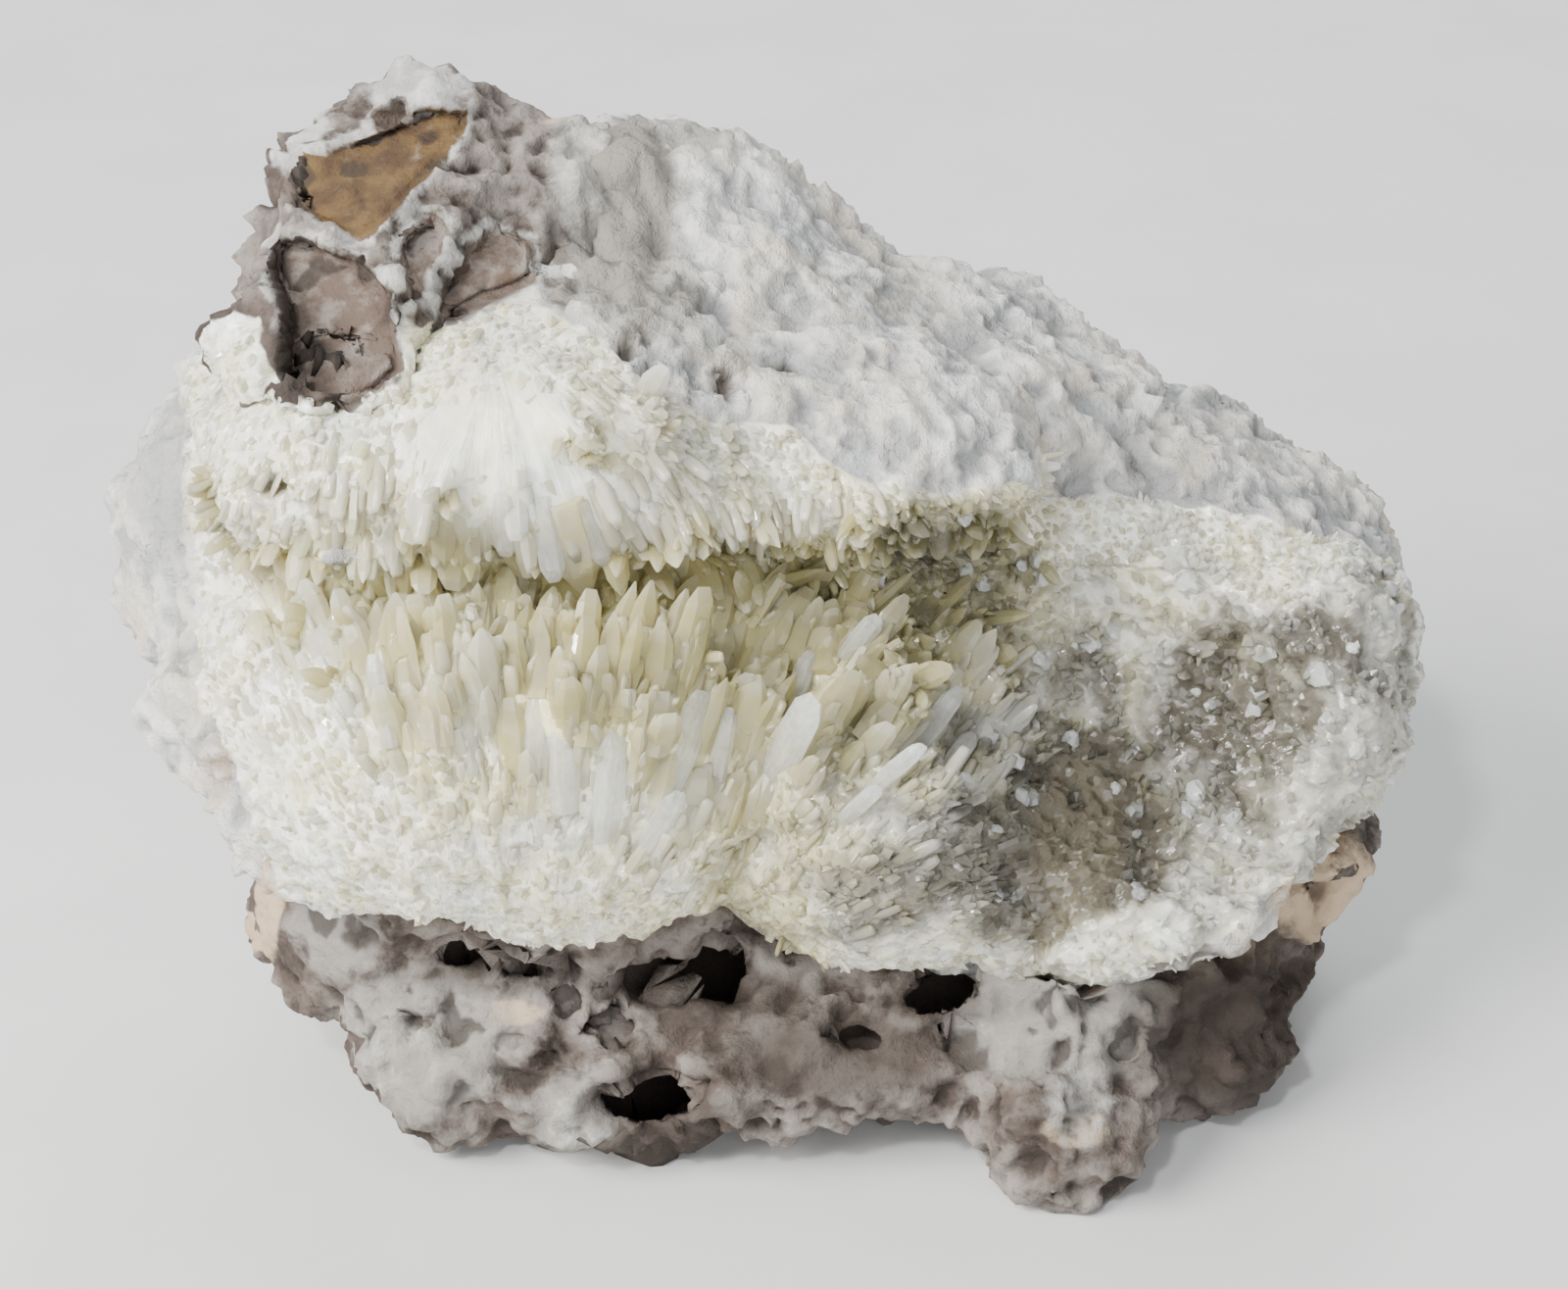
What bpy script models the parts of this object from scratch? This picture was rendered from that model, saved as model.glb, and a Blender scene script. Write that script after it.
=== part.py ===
"""An aragonite specimen, in three pieces: brown porous host rock, the white fibrous aragonite grown on it,
and the crust of spear crystals that lines its open cleft and its broken front.

Lengths are in millimetres in the tables and in metres in the meshes. X runs to the right, Y to the back and
Z up. The origin is on the floor, at the middle of the footprint."""

import math
import random
from collections import namedtuple

import bmesh
import bpy
from mathutils import Euler, Matrix, Vector, noise
from mathutils.bvhtree import BVHTree

MM = 0.001

# Driving dimensions
CRUST_THICKNESS = 2.6
SEAM_GAP = 0.4
HIDDEN_GAP = 0.8
LEAST_GAP = 0.1
BITE = 0.05
VOXEL = 1.3
POCKET_DEPTH = 3.0
CRYSTAL_SINK = 1.8
CRYSTAL_SPACING = 2.0
CLEAR_OF_ROCK = 1.15

# Facets kept on each surface before the cuts
WHOLE_FACETS = 1500
HOST_FACETS = 1300
INNER_FACETS = 260
HOLLOW_FACETS = 320
ZONE_FACETS = 120

# Where the piece is looked at from, to place what shows on its surface: an eye this far from the middle
# of the piece, this high over the level, at a bearing counted from the front.
EYE_DISTANCE = 260.0
EYE_TILT = 30.0
MIDDLE = Vector((0.0, 0.0, 33.0))

# One rounded mass: centre and radii, and its turn in degrees about X, Y and Z.
Lump = namedtuple("Lump", "centre radii turn", defaults=((0, 0, 0),))
# A hole sunk into the surface: where it is seen, as the bearing and the place across and up, its radii
# across, along the line of sight and up, and its turn in degrees.
Pit = namedtuple("Pit", "bearing across up radii turn", defaults=(0,))
# A row of crystals, as seen from the front: the places across and up of its first and last root, how many
# there are, their length and width, the way they point at each end of the row in degrees from straight up,
# and how far they stand out from the surface (0 lies along it, 1 stands straight out).
Row = namedtuple("Row", "first last count length width lean out")

ARAGONITE = [
    # the front belly below the cleft, and the smaller bulge beside it
    Lump((-24, -12, 35), (24, 19, 14), (0, 0, 8)),
    Lump((-15, -17, 29), (15, 12, 10)),
    Lump((8, -15, 28), (14, 13, 13), (0, -25, 0)),
    # the left flank
    Lump((-39, 3, 40), (14, 17, 15)),
    Lump((-38, 1, 51), (9, 13, 8)),
    # the upper wall, over the cleft, and its lower right end
    Lump((-15, -7, 57), (13, 13, 9)),
    Lump((-17, -13, 56), (12, 8, 9), (-20, 0, 0)),
    Lump((-33, -9, 54), (10, 11, 8)),
    Lump((4, -4, 53), (15, 12, 8), (0, 10, 0)),
    # the weathered back, a ridge that falls to the right
    Lump((-5, 13, 56), (18, 15, 13), (0, 12, 0)),
    Lump((-7, 21, 59), (8, 7, 8)),
    Lump((14, 15, 45), (20, 17, 13), (0, 24, 0)),
    Lump((34, 11, 36), (18, 17, 10), (0, 22, 0)),
    # the core behind the bowl, the right end and its lower rim
    Lump((14, 10, 32), (26, 19, 16)),
    Lump((39, 3, 29), (12, 15, 13)),
    Lump((25, -11, 21), (17, 14, 7), (0, -12, 0)),
]
HOST = [
    # the base, a slab that reaches further left than right
    Lump((-18, 2, 18), (27, 24, 12), (0, 8, 0)),
    Lump((-30, -6, 14), (13, 13, 11), (0, 25, 0)),
    Lump((20, 0, 13), (24, 23, 10)),
    Lump((38, -3, 16), (9, 9, 6), (0, -20, 0)),
    # the ledge at the front, clear of the floor between the feet
    Lump((0, -15, 7.5), (22, 12, 6), (0, -2, 0)),
    # the left, front and right feet, and the two behind
    Lump((-22, -14, 7), (13, 11, 9), (0, 15, 20)),
    Lump((-14, -19, 6), (8, 8, 7)),
    Lump((21.5, -20, 6), (7.5, 11, 8), (20, -20, 0)),
    Lump((32, -12, 5), (9, 9, 7)),
    Lump((36, 2, 7), (9, 11, 9)),
    Lump((2, 20, 7), (28, 12, 9)),
    # the spine behind, and the knob at the top left with its lobes
    Lump((-20, 18, 38), (22, 14, 26)),
    Lump((-31, 5, 63), (10, 13, 10)),
    Lump((-20, 10, 63), (10, 11, 9)),
    Lump((-33, -5, 61), (9, 11, 8)),
    Lump((-27, 11, 70.5), (7, 7, 6)),
]
HOLLOW = [
    # the cleft, from left to right, and the open bowl at its right end
    Lump((-34, -23, 47.5), (12, 12, 3)),
    Lump((-16, -21, 47.5), (15, 14, 4.2)),
    Lump((3, -18, 44.5), (14, 13, 5)),
    Lump((15, -16, 41), (13, 14, 8), (0, 30, 0)),
    Lump((27, -17, 35), (19, 16, 11), (0, 22, 0)),
]
# Where the outside is broken open and shows crystals.
CRYSTAL_FRONT = [
    Lump((-21, -26, 45), (27, 23, 26)),
    Lump((14, -26, 34), (27, 21, 20), (0, 12, 0)),
    Lump((2, -17, 50), (16, 14, 9)),
    Lump((12, -11, 43), (17, 16, 12)),
]
# The outlines of the sunken panes in the knob, as seen from the front, across and up.
POCKETS = [
    [(-40.6, 32), (-37.5, 31.8), (-33.5, 30.2), (-31.2, 28), (-30.8, 25), (-30, 21.6), (-32.4, 20), (-36.6, 19.2),
     (-39, 21), (-40.4, 25)],
    [(-38, 34.2), (-36, 37.2), (-32.4, 39.4), (-28, 42), (-25, 41.8), (-25.4, 40), (-30, 35), (-32.6, 32.6),
     (-35.4, 32.8)],
    [(-29.8, 27.2), (-30, 31), (-27.4, 34), (-26.6, 32.4), (-28.0, 29.6), (-28.6, 27)],
    [(-26.8, 27.4), (-25.4, 30.2), (-23.6, 32.4), (-20, 31.6), (-19.6, 28.6), (-22, 27.4), (-26.6, 25.4)],
]
PITS = [
    # under the edge of the belly, in the corner between it and the bulge, and under the bulge
    Pit(0, -25.4, -24.0, (2.8, 3.5, 1.4)),
    Pit(0, -20.8, -25.0, (2.2, 2.5, 1.1)),
    Pit(0, -5.4, -25.4, (2.8, 5.0, 2.1), -25),
    Pit(0, 12.6, -27.4, (3.4, 4.5, 1.7), 18),
    # the cave beside the left foot, and the holes in the slope under the bulge
    Pit(0, -10.2, -35.6, (4.2, 6.0, 2.0), 8),
    Pit(0, -17.5, -28.0, (2.0, 2.2, 1.4)),
    Pit(0, -13.0, -30.6, (2.4, 2.4, 1.6), 15),
    Pit(0, -21.6, -31.2, (1.7, 2.0, 1.2)),
    Pit(0, 5.6, -31.3, (2.2, 2.4, 1.1), 20),
    Pit(0, 27.0, -30.6, (1.6, 2.0, 2.2), 10),
    # the notch in the weathered ridge
    Pit(0, 0.2, 22.4, (1.9, 2.0, 0.7), 8),
]
# Bearings at which the host rock gets pores of its own, and how many at each.
PORE_BEARINGS = (45, 100, 140, 180, 220, 265, 315)
PORES_EACH = 2

ROWS = [
    # the spears that point up along the lower side of the cleft, the hindmost row first
    Row((-35, -1.4), (11, -0.2), 14, 5.6, 4.0, (-10, 24), 0.30),
    Row((-36, -5.4), (12, -3.9), 15, 6.4, 4.2, (-16, 28), 0.32),
    Row((-33, -9.8), (2, -9.2), 10, 6.2, 4.2, (-18, 18), 0.28),
    # the clear ones at the corner between the cleft and the bowl
    Row((3.5, -9.0), (15, -7.0), 4, 7.2, 4.0, (20, 38), 0.40),
    # the cream band at the left of the upper wall, and the fine rim at its right
    Row((-42, 15.6), (-29, 15.8), 6, 4.8, 3.2, (198, 170), 0.30),
    Row((-7.5, 12.6), (9, 12.4), 7, 4.4, 3.1, (188, 166), 0.40),
    # the bulge
    Row((2, -15.5), (15, -12.0), 4, 4.6, 3.6, (10, 44), 0.35),
]
# The fan of blades on the upper wall: its centre, how far from it the blades are rooted, how many there
# are, their length and width, and the sweep in degrees from straight up.
FAN_CENTRE = (-23.1, 25.2)
FAN_ROOT = 7.5
FAN_COUNT = 10
FAN_LENGTH = 9.6
FAN_WIDTH = 3.6
FAN_SWEEP = (228, 124)
# Short crystals strewn over the bowl, as seen from the front: the field across and up.
BOWL_FIELD = ((14.0, -14.0), (46.0, 8.0))
BOWL_COUNT = 12
BOWL_LENGTH = 2.6
BOWL_WIDTH = 3.4


def clear_scene():
    for thing in list(bpy.data.objects):
        bpy.data.objects.remove(thing, do_unlink=True)


def collection(name):
    made = bpy.data.collections.new(name)
    bpy.context.scene.collection.children.link(made)
    return made


def material(name, colour, roughness):
    made = bpy.data.materials.new(name)
    made.use_nodes = True
    shader = made.node_tree.nodes["Principled BSDF"]
    shader.inputs["Base Color"].default_value = (*colour, 1.0)
    shader.inputs["Roughness"].default_value = roughness
    shader.inputs["Metallic"].default_value = 0.0
    made.diffuse_color = (*colour, 1.0)
    return made


def new_object(name, bm, home):
    mesh = bpy.data.meshes.new(name)
    bm.to_mesh(mesh)
    bm.free()
    thing = bpy.data.objects.new(name, mesh)
    home.objects.link(thing)
    return thing


def apply_modifiers(thing):
    graph = bpy.context.evaluated_depsgraph_get()
    mesh = bpy.data.meshes.new_from_object(thing.evaluated_get(graph))
    thing.modifiers.clear()
    thing.data = mesh
    return thing


def duplicate(thing, name, home):
    copy = bpy.data.objects.new(name, thing.data.copy())
    home.objects.link(copy)
    return copy


def offset(thing, distance):
    """Moves the surface along its normals."""
    shifts = [vertex.normal * distance * MM for vertex in thing.data.vertices]
    for vertex, shift in zip(thing.data.vertices, shifts):
        vertex.co += shift
    return thing


def combine(thing, other, operation, self_crossing=False):
    joined = thing.modifiers.new(operation.lower(), "BOOLEAN")
    joined.operation = operation
    joined.solver = "EXACT"
    joined.use_self = self_crossing
    joined.object = other
    return apply_modifiers(thing)


def keep_largest(thing):
    """Drops the crumbs that a cut leaves beside the main body."""
    bm = bmesh.new()
    bm.from_mesh(thing.data)
    left = set(bm.verts)
    shells = []
    while left:
        shell = {left.pop()}
        front = list(shell)
        while front:
            vertex = front.pop()
            for link in vertex.link_edges:
                other = link.other_vert(vertex)
                if other in left:
                    left.remove(other)
                    shell.add(other)
                    front.append(other)
        shells.append(shell)
    shells.sort(key=len)
    for shell in shells[:-1]:
        bmesh.ops.delete(bm, geom=list(shell), context="VERTS")
    bm.to_mesh(thing.data)
    bm.free()
    return thing


def knobs(point, size):
    """How far rounded knobs stand out, from 0 in the creases between them to about 1."""
    near = noise.voronoi(point / (size * MM))[0]
    return min(1.0, 2.2 * (near[1] - near[0]))


def host_relief(point):
    """Rough porous rock: uneven, with knobs and creases."""
    return 1.5 * noise.fractal(point / (11 * MM), 1.0, 2.0, 4) + 1.5 * knobs(point, 8.0) - 0.8


def rind_relief(point):
    """Weathered rind: ridges that run down to the right, longer than they are wide."""
    grain = Vector((0.80, -0.25, -0.55)).normalized()
    drawn = point - 0.6 * point.dot(grain) * grain
    return 1.1 * noise.fractal(point / (13 * MM), 1.0, 2.0, 3) + 1.5 * knobs(drawn, 7.0) - 0.8


def lumps_object(name, lumps, home, facets, grow=0.0, relief=None):
    """One closed mesh around the lumps, each grown by the same distance."""
    bm = bmesh.new()
    for lump in lumps:
        radii = Vector(lump.radii) + Vector((grow, grow, grow))
        turn = Euler([math.radians(angle) for angle in lump.turn])
        place = Matrix.LocRotScale(Vector(lump.centre) * MM, turn, radii * MM)
        bmesh.ops.create_icosphere(bm, subdivisions=4, radius=1.0, matrix=place)
    thing = new_object(name, bm, home)
    voxels = thing.modifiers.new("voxels", "REMESH")
    voxels.mode = "VOXEL"
    voxels.voxel_size = VOXEL * MM
    rounding = thing.modifiers.new("rounding", "SMOOTH")
    rounding.iterations = 8
    apply_modifiers(thing)
    if relief:
        heights = [relief(vertex.co) for vertex in thing.data.vertices]
        for vertex, height in zip(thing.data.vertices, heights):
            vertex.co += vertex.normal * height * MM
    facet = thing.modifiers.new("facets", "DECIMATE")
    facet.ratio = min(1.0, facets / (2 * len(thing.data.polygons)))
    return apply_modifiers(thing)


def eye_axes(bearing):
    """The ways to the right, towards the eye and up in the eye's view."""
    turn = Matrix.Rotation(math.radians(bearing), 3, "Z")
    tilt = math.radians(EYE_TILT)
    back = turn @ Vector((0, -math.cos(tilt), math.sin(tilt)))
    side = turn @ Vector((1, 0, 0))
    return side, back, back.cross(side)


def tree_of(*things):
    """One search tree over the surfaces of several objects."""
    bm = bmesh.new()
    for thing in things:
        bm.from_mesh(thing.data)
    tree = BVHTree.FromBMesh(bm)
    bm.free()
    return tree


def seen(tree, bearing, across, up):
    """The place and normal of the surface that the eye sees there, or None."""
    side, back, rise = eye_axes(bearing)
    eye = (MIDDLE + back * EYE_DISTANCE) * MM
    aim = (MIDDLE + side * across + rise * up) * MM
    place, normal, _, _ = tree.ray_cast(eye, (aim - eye).normalized())
    if place is None:
        return None
    return place, normal


def pit_cutters(pits, tree, home):
    """Ellipsoids that sit half in the surface, for cutting holes."""
    made = []
    for pit in pits:
        found = seen(tree, pit.bearing, pit.across, pit.up)
        if found is None:
            continue
        place, _ = found
        side, back, rise = eye_axes(pit.bearing)
        frame = Matrix((side, -back, rise)).transposed()
        turn = frame @ Matrix.Rotation(math.radians(-pit.turn), 3, "Y")
        size = Matrix.LocRotScale(None, None, Vector(pit.radii) * MM)
        matrix = Matrix.Translation(place - back * 0.3 * pit.radii[1] * MM) @ turn.to_4x4() @ size
        bm = bmesh.new()
        bmesh.ops.create_icosphere(bm, subdivisions=1, radius=1.0, matrix=matrix)
        made.append(new_object("pit", bm, home))
    return made


def pores(rng):
    """Holes of many sizes round the sides and back of the base."""
    found = []
    for bearing in PORE_BEARINGS:
        for _ in range(PORES_EACH):
            width = rng.uniform(1.0, 2.6)
            place = (rng.uniform(-34, 34), rng.uniform(-36, -8))
            radii = (width, rng.uniform(1.5, 3.0), width * rng.uniform(0.5, 1.0))
            found.append(Pit(bearing, *place, radii, rng.uniform(-40, 40)))
    return found


def pockets_object(tree, home):
    """Prisms along the line of sight, one for each pocket outline."""
    side, back, rise = eye_axes(0)
    bm = bmesh.new()
    for outline in POCKETS:
        rings = []
        middle = sum((Vector(corner) for corner in outline), Vector((0, 0))) / len(outline)
        place, _ = seen(tree, 0, *middle)
        eye = (MIDDLE + back * EYE_DISTANCE) * MM
        depth = (eye - place).dot(back)
        for reach in (-10 * MM, 10 * MM):
            ring = []
            for across, up in outline:
                aim = (MIDDLE + side * across + rise * up) * MM
                sight = (aim - eye) / (EYE_DISTANCE * MM)
                ring.append(bm.verts.new(eye + sight * (depth + reach)))
            rings.append(ring)
        near, far = rings
        bm.faces.new(near)
        bm.faces.new(reversed(far))
        for index, corner in enumerate(near):
            follow = (index + 1) % len(near)
            bm.faces.new((near[follow], corner, far[index], far[follow]))
    bmesh.ops.recalc_face_normals(bm, faces=bm.faces)
    return new_object("pockets", bm, home)


def crystal_points(root, axis, length, width, rng):
    """The corners of one six-sided crystal with a chisel tip."""
    spin = Matrix.Rotation(rng.uniform(0, math.pi), 3, axis)
    across = spin @ axis.orthogonal().normalized()
    beside = axis.cross(across)
    slim = rng.uniform(0.62, 0.85)
    points = []
    for height, swell in ((-CRYSTAL_SINK, 0.72), (length * 0.68, 1.0)):
        for corner in range(6):
            angle = math.radians(60 * corner)
            out = across * math.cos(angle) + beside * math.sin(angle) * slim
            points.append(root + (axis * height + out * swell * width / 2) * MM)
    for end in (-0.22, 0.22):
        points.append(root + (axis * length + across * end * width) * MM)
    return points


def hulls_object(name, shapes, home):
    """One convex solid round each set of corners."""
    bm = bmesh.new()
    for points in shapes:
        bmesh.ops.convex_hull(bm, input=[bm.verts.new(point) for point in points])
    bmesh.ops.recalc_face_normals(bm, faces=bm.faces)
    return new_object(name, bm, home)


def add_crystal(shapes, taken, rocks, root, axis, length, width, rng):
    """Adds a crystal unless it is too near another or too near the rock around the crust."""
    if any((root - other).length < CRYSTAL_SPACING * MM for other in taken):
        return
    points = crystal_points(root, axis, length, width, rng)
    probe = bmesh.new()
    middle = sum(points, Vector()) / len(points)
    corners = [probe.verts.new(middle + (point - middle) * CLEAR_OF_ROCK) for point in points]
    bmesh.ops.convex_hull(probe, input=corners)
    touches = BVHTree.FromBMesh(probe).overlap(rocks)
    probe.free()
    if touches:
        return
    taken.append(root)
    shapes.append(points)


def crystals_object(crust, rocks, home, rng):
    """All the large crystals, rooted in the crust."""
    surface = tree_of(crust)
    side, back, rise = eye_axes(0)
    shapes = []
    taken = []

    def grow(across, up, lean, out, length, width):
        found = seen(surface, 0, across, up)
        if found is None:
            return
        root, normal = found
        turn = math.radians(lean)
        along = side * math.sin(turn) + rise * math.cos(turn)
        along = (along - along.dot(normal) * normal * (1 - out)).normalized()
        axis = (along * (1 - out) + normal * out).normalized()
        add_crystal(shapes, taken, rocks, root, axis, length, width, rng)

    for step in range(FAN_COUNT):
        lean = FAN_SWEEP[0] + (FAN_SWEEP[1] - FAN_SWEEP[0]) * step / (FAN_COUNT - 1)
        turn = math.radians(lean)
        across = FAN_CENTRE[0] + FAN_ROOT * math.sin(turn)
        up = FAN_CENTRE[1] + FAN_ROOT * math.cos(turn)
        grow(across, up, lean, 0.08, FAN_LENGTH * rng.uniform(0.85, 1.05), FAN_WIDTH)
    for row in ROWS:
        for step in range(row.count):
            part = step / (row.count - 1)
            across = row.first[0] + (row.last[0] - row.first[0]) * part + rng.uniform(-0.7, 0.7)
            up = row.first[1] + (row.last[1] - row.first[1]) * part + rng.uniform(-0.9, 0.9)
            lean = row.lean[0] + (row.lean[1] - row.lean[0]) * part + rng.uniform(-9, 9)
            size = rng.uniform(0.8, 1.15)
            grow(across, up, lean, row.out, row.length * size, row.width * size)
    for _ in range(BOWL_COUNT):
        across = rng.uniform(BOWL_FIELD[0][0], BOWL_FIELD[1][0])
        up = rng.uniform(BOWL_FIELD[0][1], BOWL_FIELD[1][1])
        size = rng.uniform(0.7, 1.2)
        grow(across, up, rng.uniform(-60, 60), 0.75, BOWL_LENGTH * size, BOWL_WIDTH * size)
    first = hulls_object("first_crystal", shapes[:1], home)
    others = hulls_object("other_crystals", shapes[1:], home)
    return combine(first, others, "UNION", self_crossing=True)


def floor_block(home):
    """Everything under the level on which the piece stands."""
    bm = bmesh.new()
    place = Matrix.LocRotScale(Vector((0, 0, -50)) * MM, None, Vector((400, 400, 100)) * MM)
    bmesh.ops.create_cube(bm, size=1.0, matrix=place)
    return new_object("floor_block", bm, home)


def to_origin(things):
    """Puts the middle of the footprint at the origin, on the floor."""
    corners = [vertex.co for thing in things for vertex in thing.data.vertices]
    low = Vector([min(corner[axis] for corner in corners) for axis in range(3)])
    high = Vector([max(corner[axis] for corner in corners) for axis in range(3)])
    shift = Vector((-(low.x + high.x) / 2, -(low.y + high.y) / 2, -low.z))
    for thing in things:
        thing.data.transform(Matrix.Translation(shift))


def part_from(thing, other):
    """Cuts away what reaches into another piece, and draws what is left back from it."""
    combine(thing, other, "DIFFERENCE")
    tree = tree_of(other)
    for vertex in thing.data.vertices:
        _, normal, _, distance = tree.find_nearest(vertex.co)
        if distance < LEAST_GAP * MM:
            vertex.co += normal * (SEAM_GAP * MM - distance)


def main():
    clear_scene()
    home = collection("aragonite_specimen")
    tools = collection("cutters")
    rng = random.Random(7)

    # the surfaces that divide the pieces
    whole = lumps_object("whole_aragonite", ARAGONITE, tools, WHOLE_FACETS, relief=rind_relief)
    inner = lumps_object("inner", ARAGONITE, tools, INNER_FACETS, grow=-CRUST_THICKNESS)
    zone = lumps_object("crystal_front", CRYSTAL_FRONT, tools, ZONE_FACETS)
    hollow = lumps_object("hollow", HOLLOW, tools, HOLLOW_FACETS)
    lining = lumps_object("lining", HOLLOW, tools, HOLLOW_FACETS, grow=CRUST_THICKNESS)
    host = lumps_object("host_rock", HOST, home, HOST_FACETS, relief=host_relief)
    host_under = lumps_object("pocket_floors", HOST, tools, INNER_FACETS, grow=-POCKET_DEPTH)

    # the massive aragonite, with seats for the crust
    mass = duplicate(whole, "aragonite_mass", home)
    combine(mass, offset(duplicate(zone, "zone_seat", tools), SEAM_GAP), "DIFFERENCE")
    combine(mass, offset(duplicate(inner, "mass_core", tools), -HIDDEN_GAP), "UNION")
    combine(mass, offset(duplicate(lining, "lining_seat", tools), SEAM_GAP), "DIFFERENCE")

    # the crust, from its outer skin and the lining of the hollow
    crust = duplicate(whole, "crystal_crust", home)
    region = combine(duplicate(zone, "crust_region", tools), lining, "UNION")
    lining_bite = offset(duplicate(lining, "lining_bite", tools), -BITE)
    core = combine(duplicate(inner, "core", tools), lining_bite, "DIFFERENCE")
    combine(crust, region, "INTERSECT")
    combine(crust, core, "DIFFERENCE")
    combine(crust, hollow, "DIFFERENCE")

    # the host rock, with its seat, its pockets and its flat feet
    pockets = pockets_object(tree_of(host), tools)
    combine(pockets, host_under, "DIFFERENCE", self_crossing=True)
    combine(host, pockets, "DIFFERENCE")
    combine(host, offset(duplicate(whole, "host_seat", tools), SEAM_GAP), "DIFFERENCE")
    combine(host, floor_block(tools), "DIFFERENCE")

    # the holes, which go through whichever piece is there
    for pit in pit_cutters(PITS, tree_of(host, mass, crust), tools):
        for thing in (host, mass, crust):
            combine(thing, pit, "DIFFERENCE")
    for pore in pit_cutters(pores(rng), tree_of(host), tools):
        combine(host, pore, "DIFFERENCE")
    for thing in (host, mass, crust):
        keep_largest(thing)

    # the large crystals, grown together with the crust
    crystals = crystals_object(crust, tree_of(host, mass), tools, rng)
    combine(crust, crystals, "UNION")
    keep_largest(crust)
    part_from(mass, crust)
    keep_largest(mass)

    to_origin((host, mass, crust))
    host.data.materials.append(material("brown_host_rock", (0.23, 0.17, 0.13), 0.9))
    mass.data.materials.append(material("weathered_aragonite", (0.60, 0.57, 0.52), 0.8))
    crust.data.materials.append(material("honey_crystal", (0.80, 0.74, 0.58), 0.35))
    for thing in tools.objects:
        thing.hide_render = True
        thing.display_type = "WIRE"


if __name__ == "__main__":
    main()
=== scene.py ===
"""The looks of an aragonite specimen: fine skins over the host rock and the aragonite, the crystals that line
its cleft and bowl, and a plain stage. Lengths in the tables are in millimetres, and in metres everywhere else."""

import math
import random
from collections import namedtuple

import bmesh
import bpy
import numpy as np
from bpy.props import FloatProperty, FloatVectorProperty, IntProperty, PointerProperty
from mathutils import Matrix, Vector, noise
from mathutils.bvhtree import BVHTree


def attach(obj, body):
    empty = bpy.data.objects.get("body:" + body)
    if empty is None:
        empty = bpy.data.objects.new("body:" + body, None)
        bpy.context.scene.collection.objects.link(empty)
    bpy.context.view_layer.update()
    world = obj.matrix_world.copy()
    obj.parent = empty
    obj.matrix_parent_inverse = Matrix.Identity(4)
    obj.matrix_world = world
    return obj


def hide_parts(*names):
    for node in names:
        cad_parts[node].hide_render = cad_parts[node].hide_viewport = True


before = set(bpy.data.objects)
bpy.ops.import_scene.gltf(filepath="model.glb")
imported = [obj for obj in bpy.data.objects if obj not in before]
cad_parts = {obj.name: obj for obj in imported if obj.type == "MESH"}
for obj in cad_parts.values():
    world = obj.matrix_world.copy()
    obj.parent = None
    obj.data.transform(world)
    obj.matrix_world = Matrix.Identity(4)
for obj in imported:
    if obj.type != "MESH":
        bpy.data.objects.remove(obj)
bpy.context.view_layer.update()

bl_info = {
    "name": "Aragonite specimen",
    "version": (1, 0, 0),
    "blender": (4, 5, 0),
    "location": "3D View > Sidebar > Specimen",
    "description": "Dresses the solids of an aragonite specimen with rock skins and crystals",
    "category": "Object",
}

MM = 0.001

# The eye of the photograph: its distance from the middle of the piece, its height over the level and its
# focal length. What shows on the front is placed across and up, in millimetres, on the plane through the
# middle that faces this eye.
EYE_DISTANCE = 0.260
EYE_TILT = math.radians(30)
EYE_LENS = 76.05
SENSOR_WIDTH = 36.0
MIDDLE = np.array((0.00074, -0.00063, 0.033))
SIDE = np.array((1.0, 0.0, 0.0))
BACK = np.array((0.0, -math.cos(EYE_TILT), math.sin(EYE_TILT)))
RISE = np.cross(BACK, SIDE)
EYE = MIDDLE + BACK * EYE_DISTANCE

# The way that the ridges of the weathered rind run, and how much they are drawn out
RIND_GRAIN = np.array((0.40, -0.62, -0.68)) / np.linalg.norm((0.40, -0.62, -0.68))
RIND_DRAW = 0.72

# Where two pieces lie closer than this, their skins are hidden, and are thinned to this share of their faces.
HIDDEN_REACH = 1.3 * MM
HIDDEN_SHARE = 0.12

# How far a crystal may turn about its own length, so that its flat side no longer faces straight out
FACE_TURN = math.radians(22)

# Where the lines of growth of the upper and the lower wall fan out from, across and up, the height between
# the two walls, and how far along a line counts next to across it
FAN_CENTRE = (-23.0, 25.5)
BELLY_CENTRE = (-18.0, -40.0)
BETWEEN_WALLS = 6.0
LINE_STRETCH = 0.12

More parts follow.
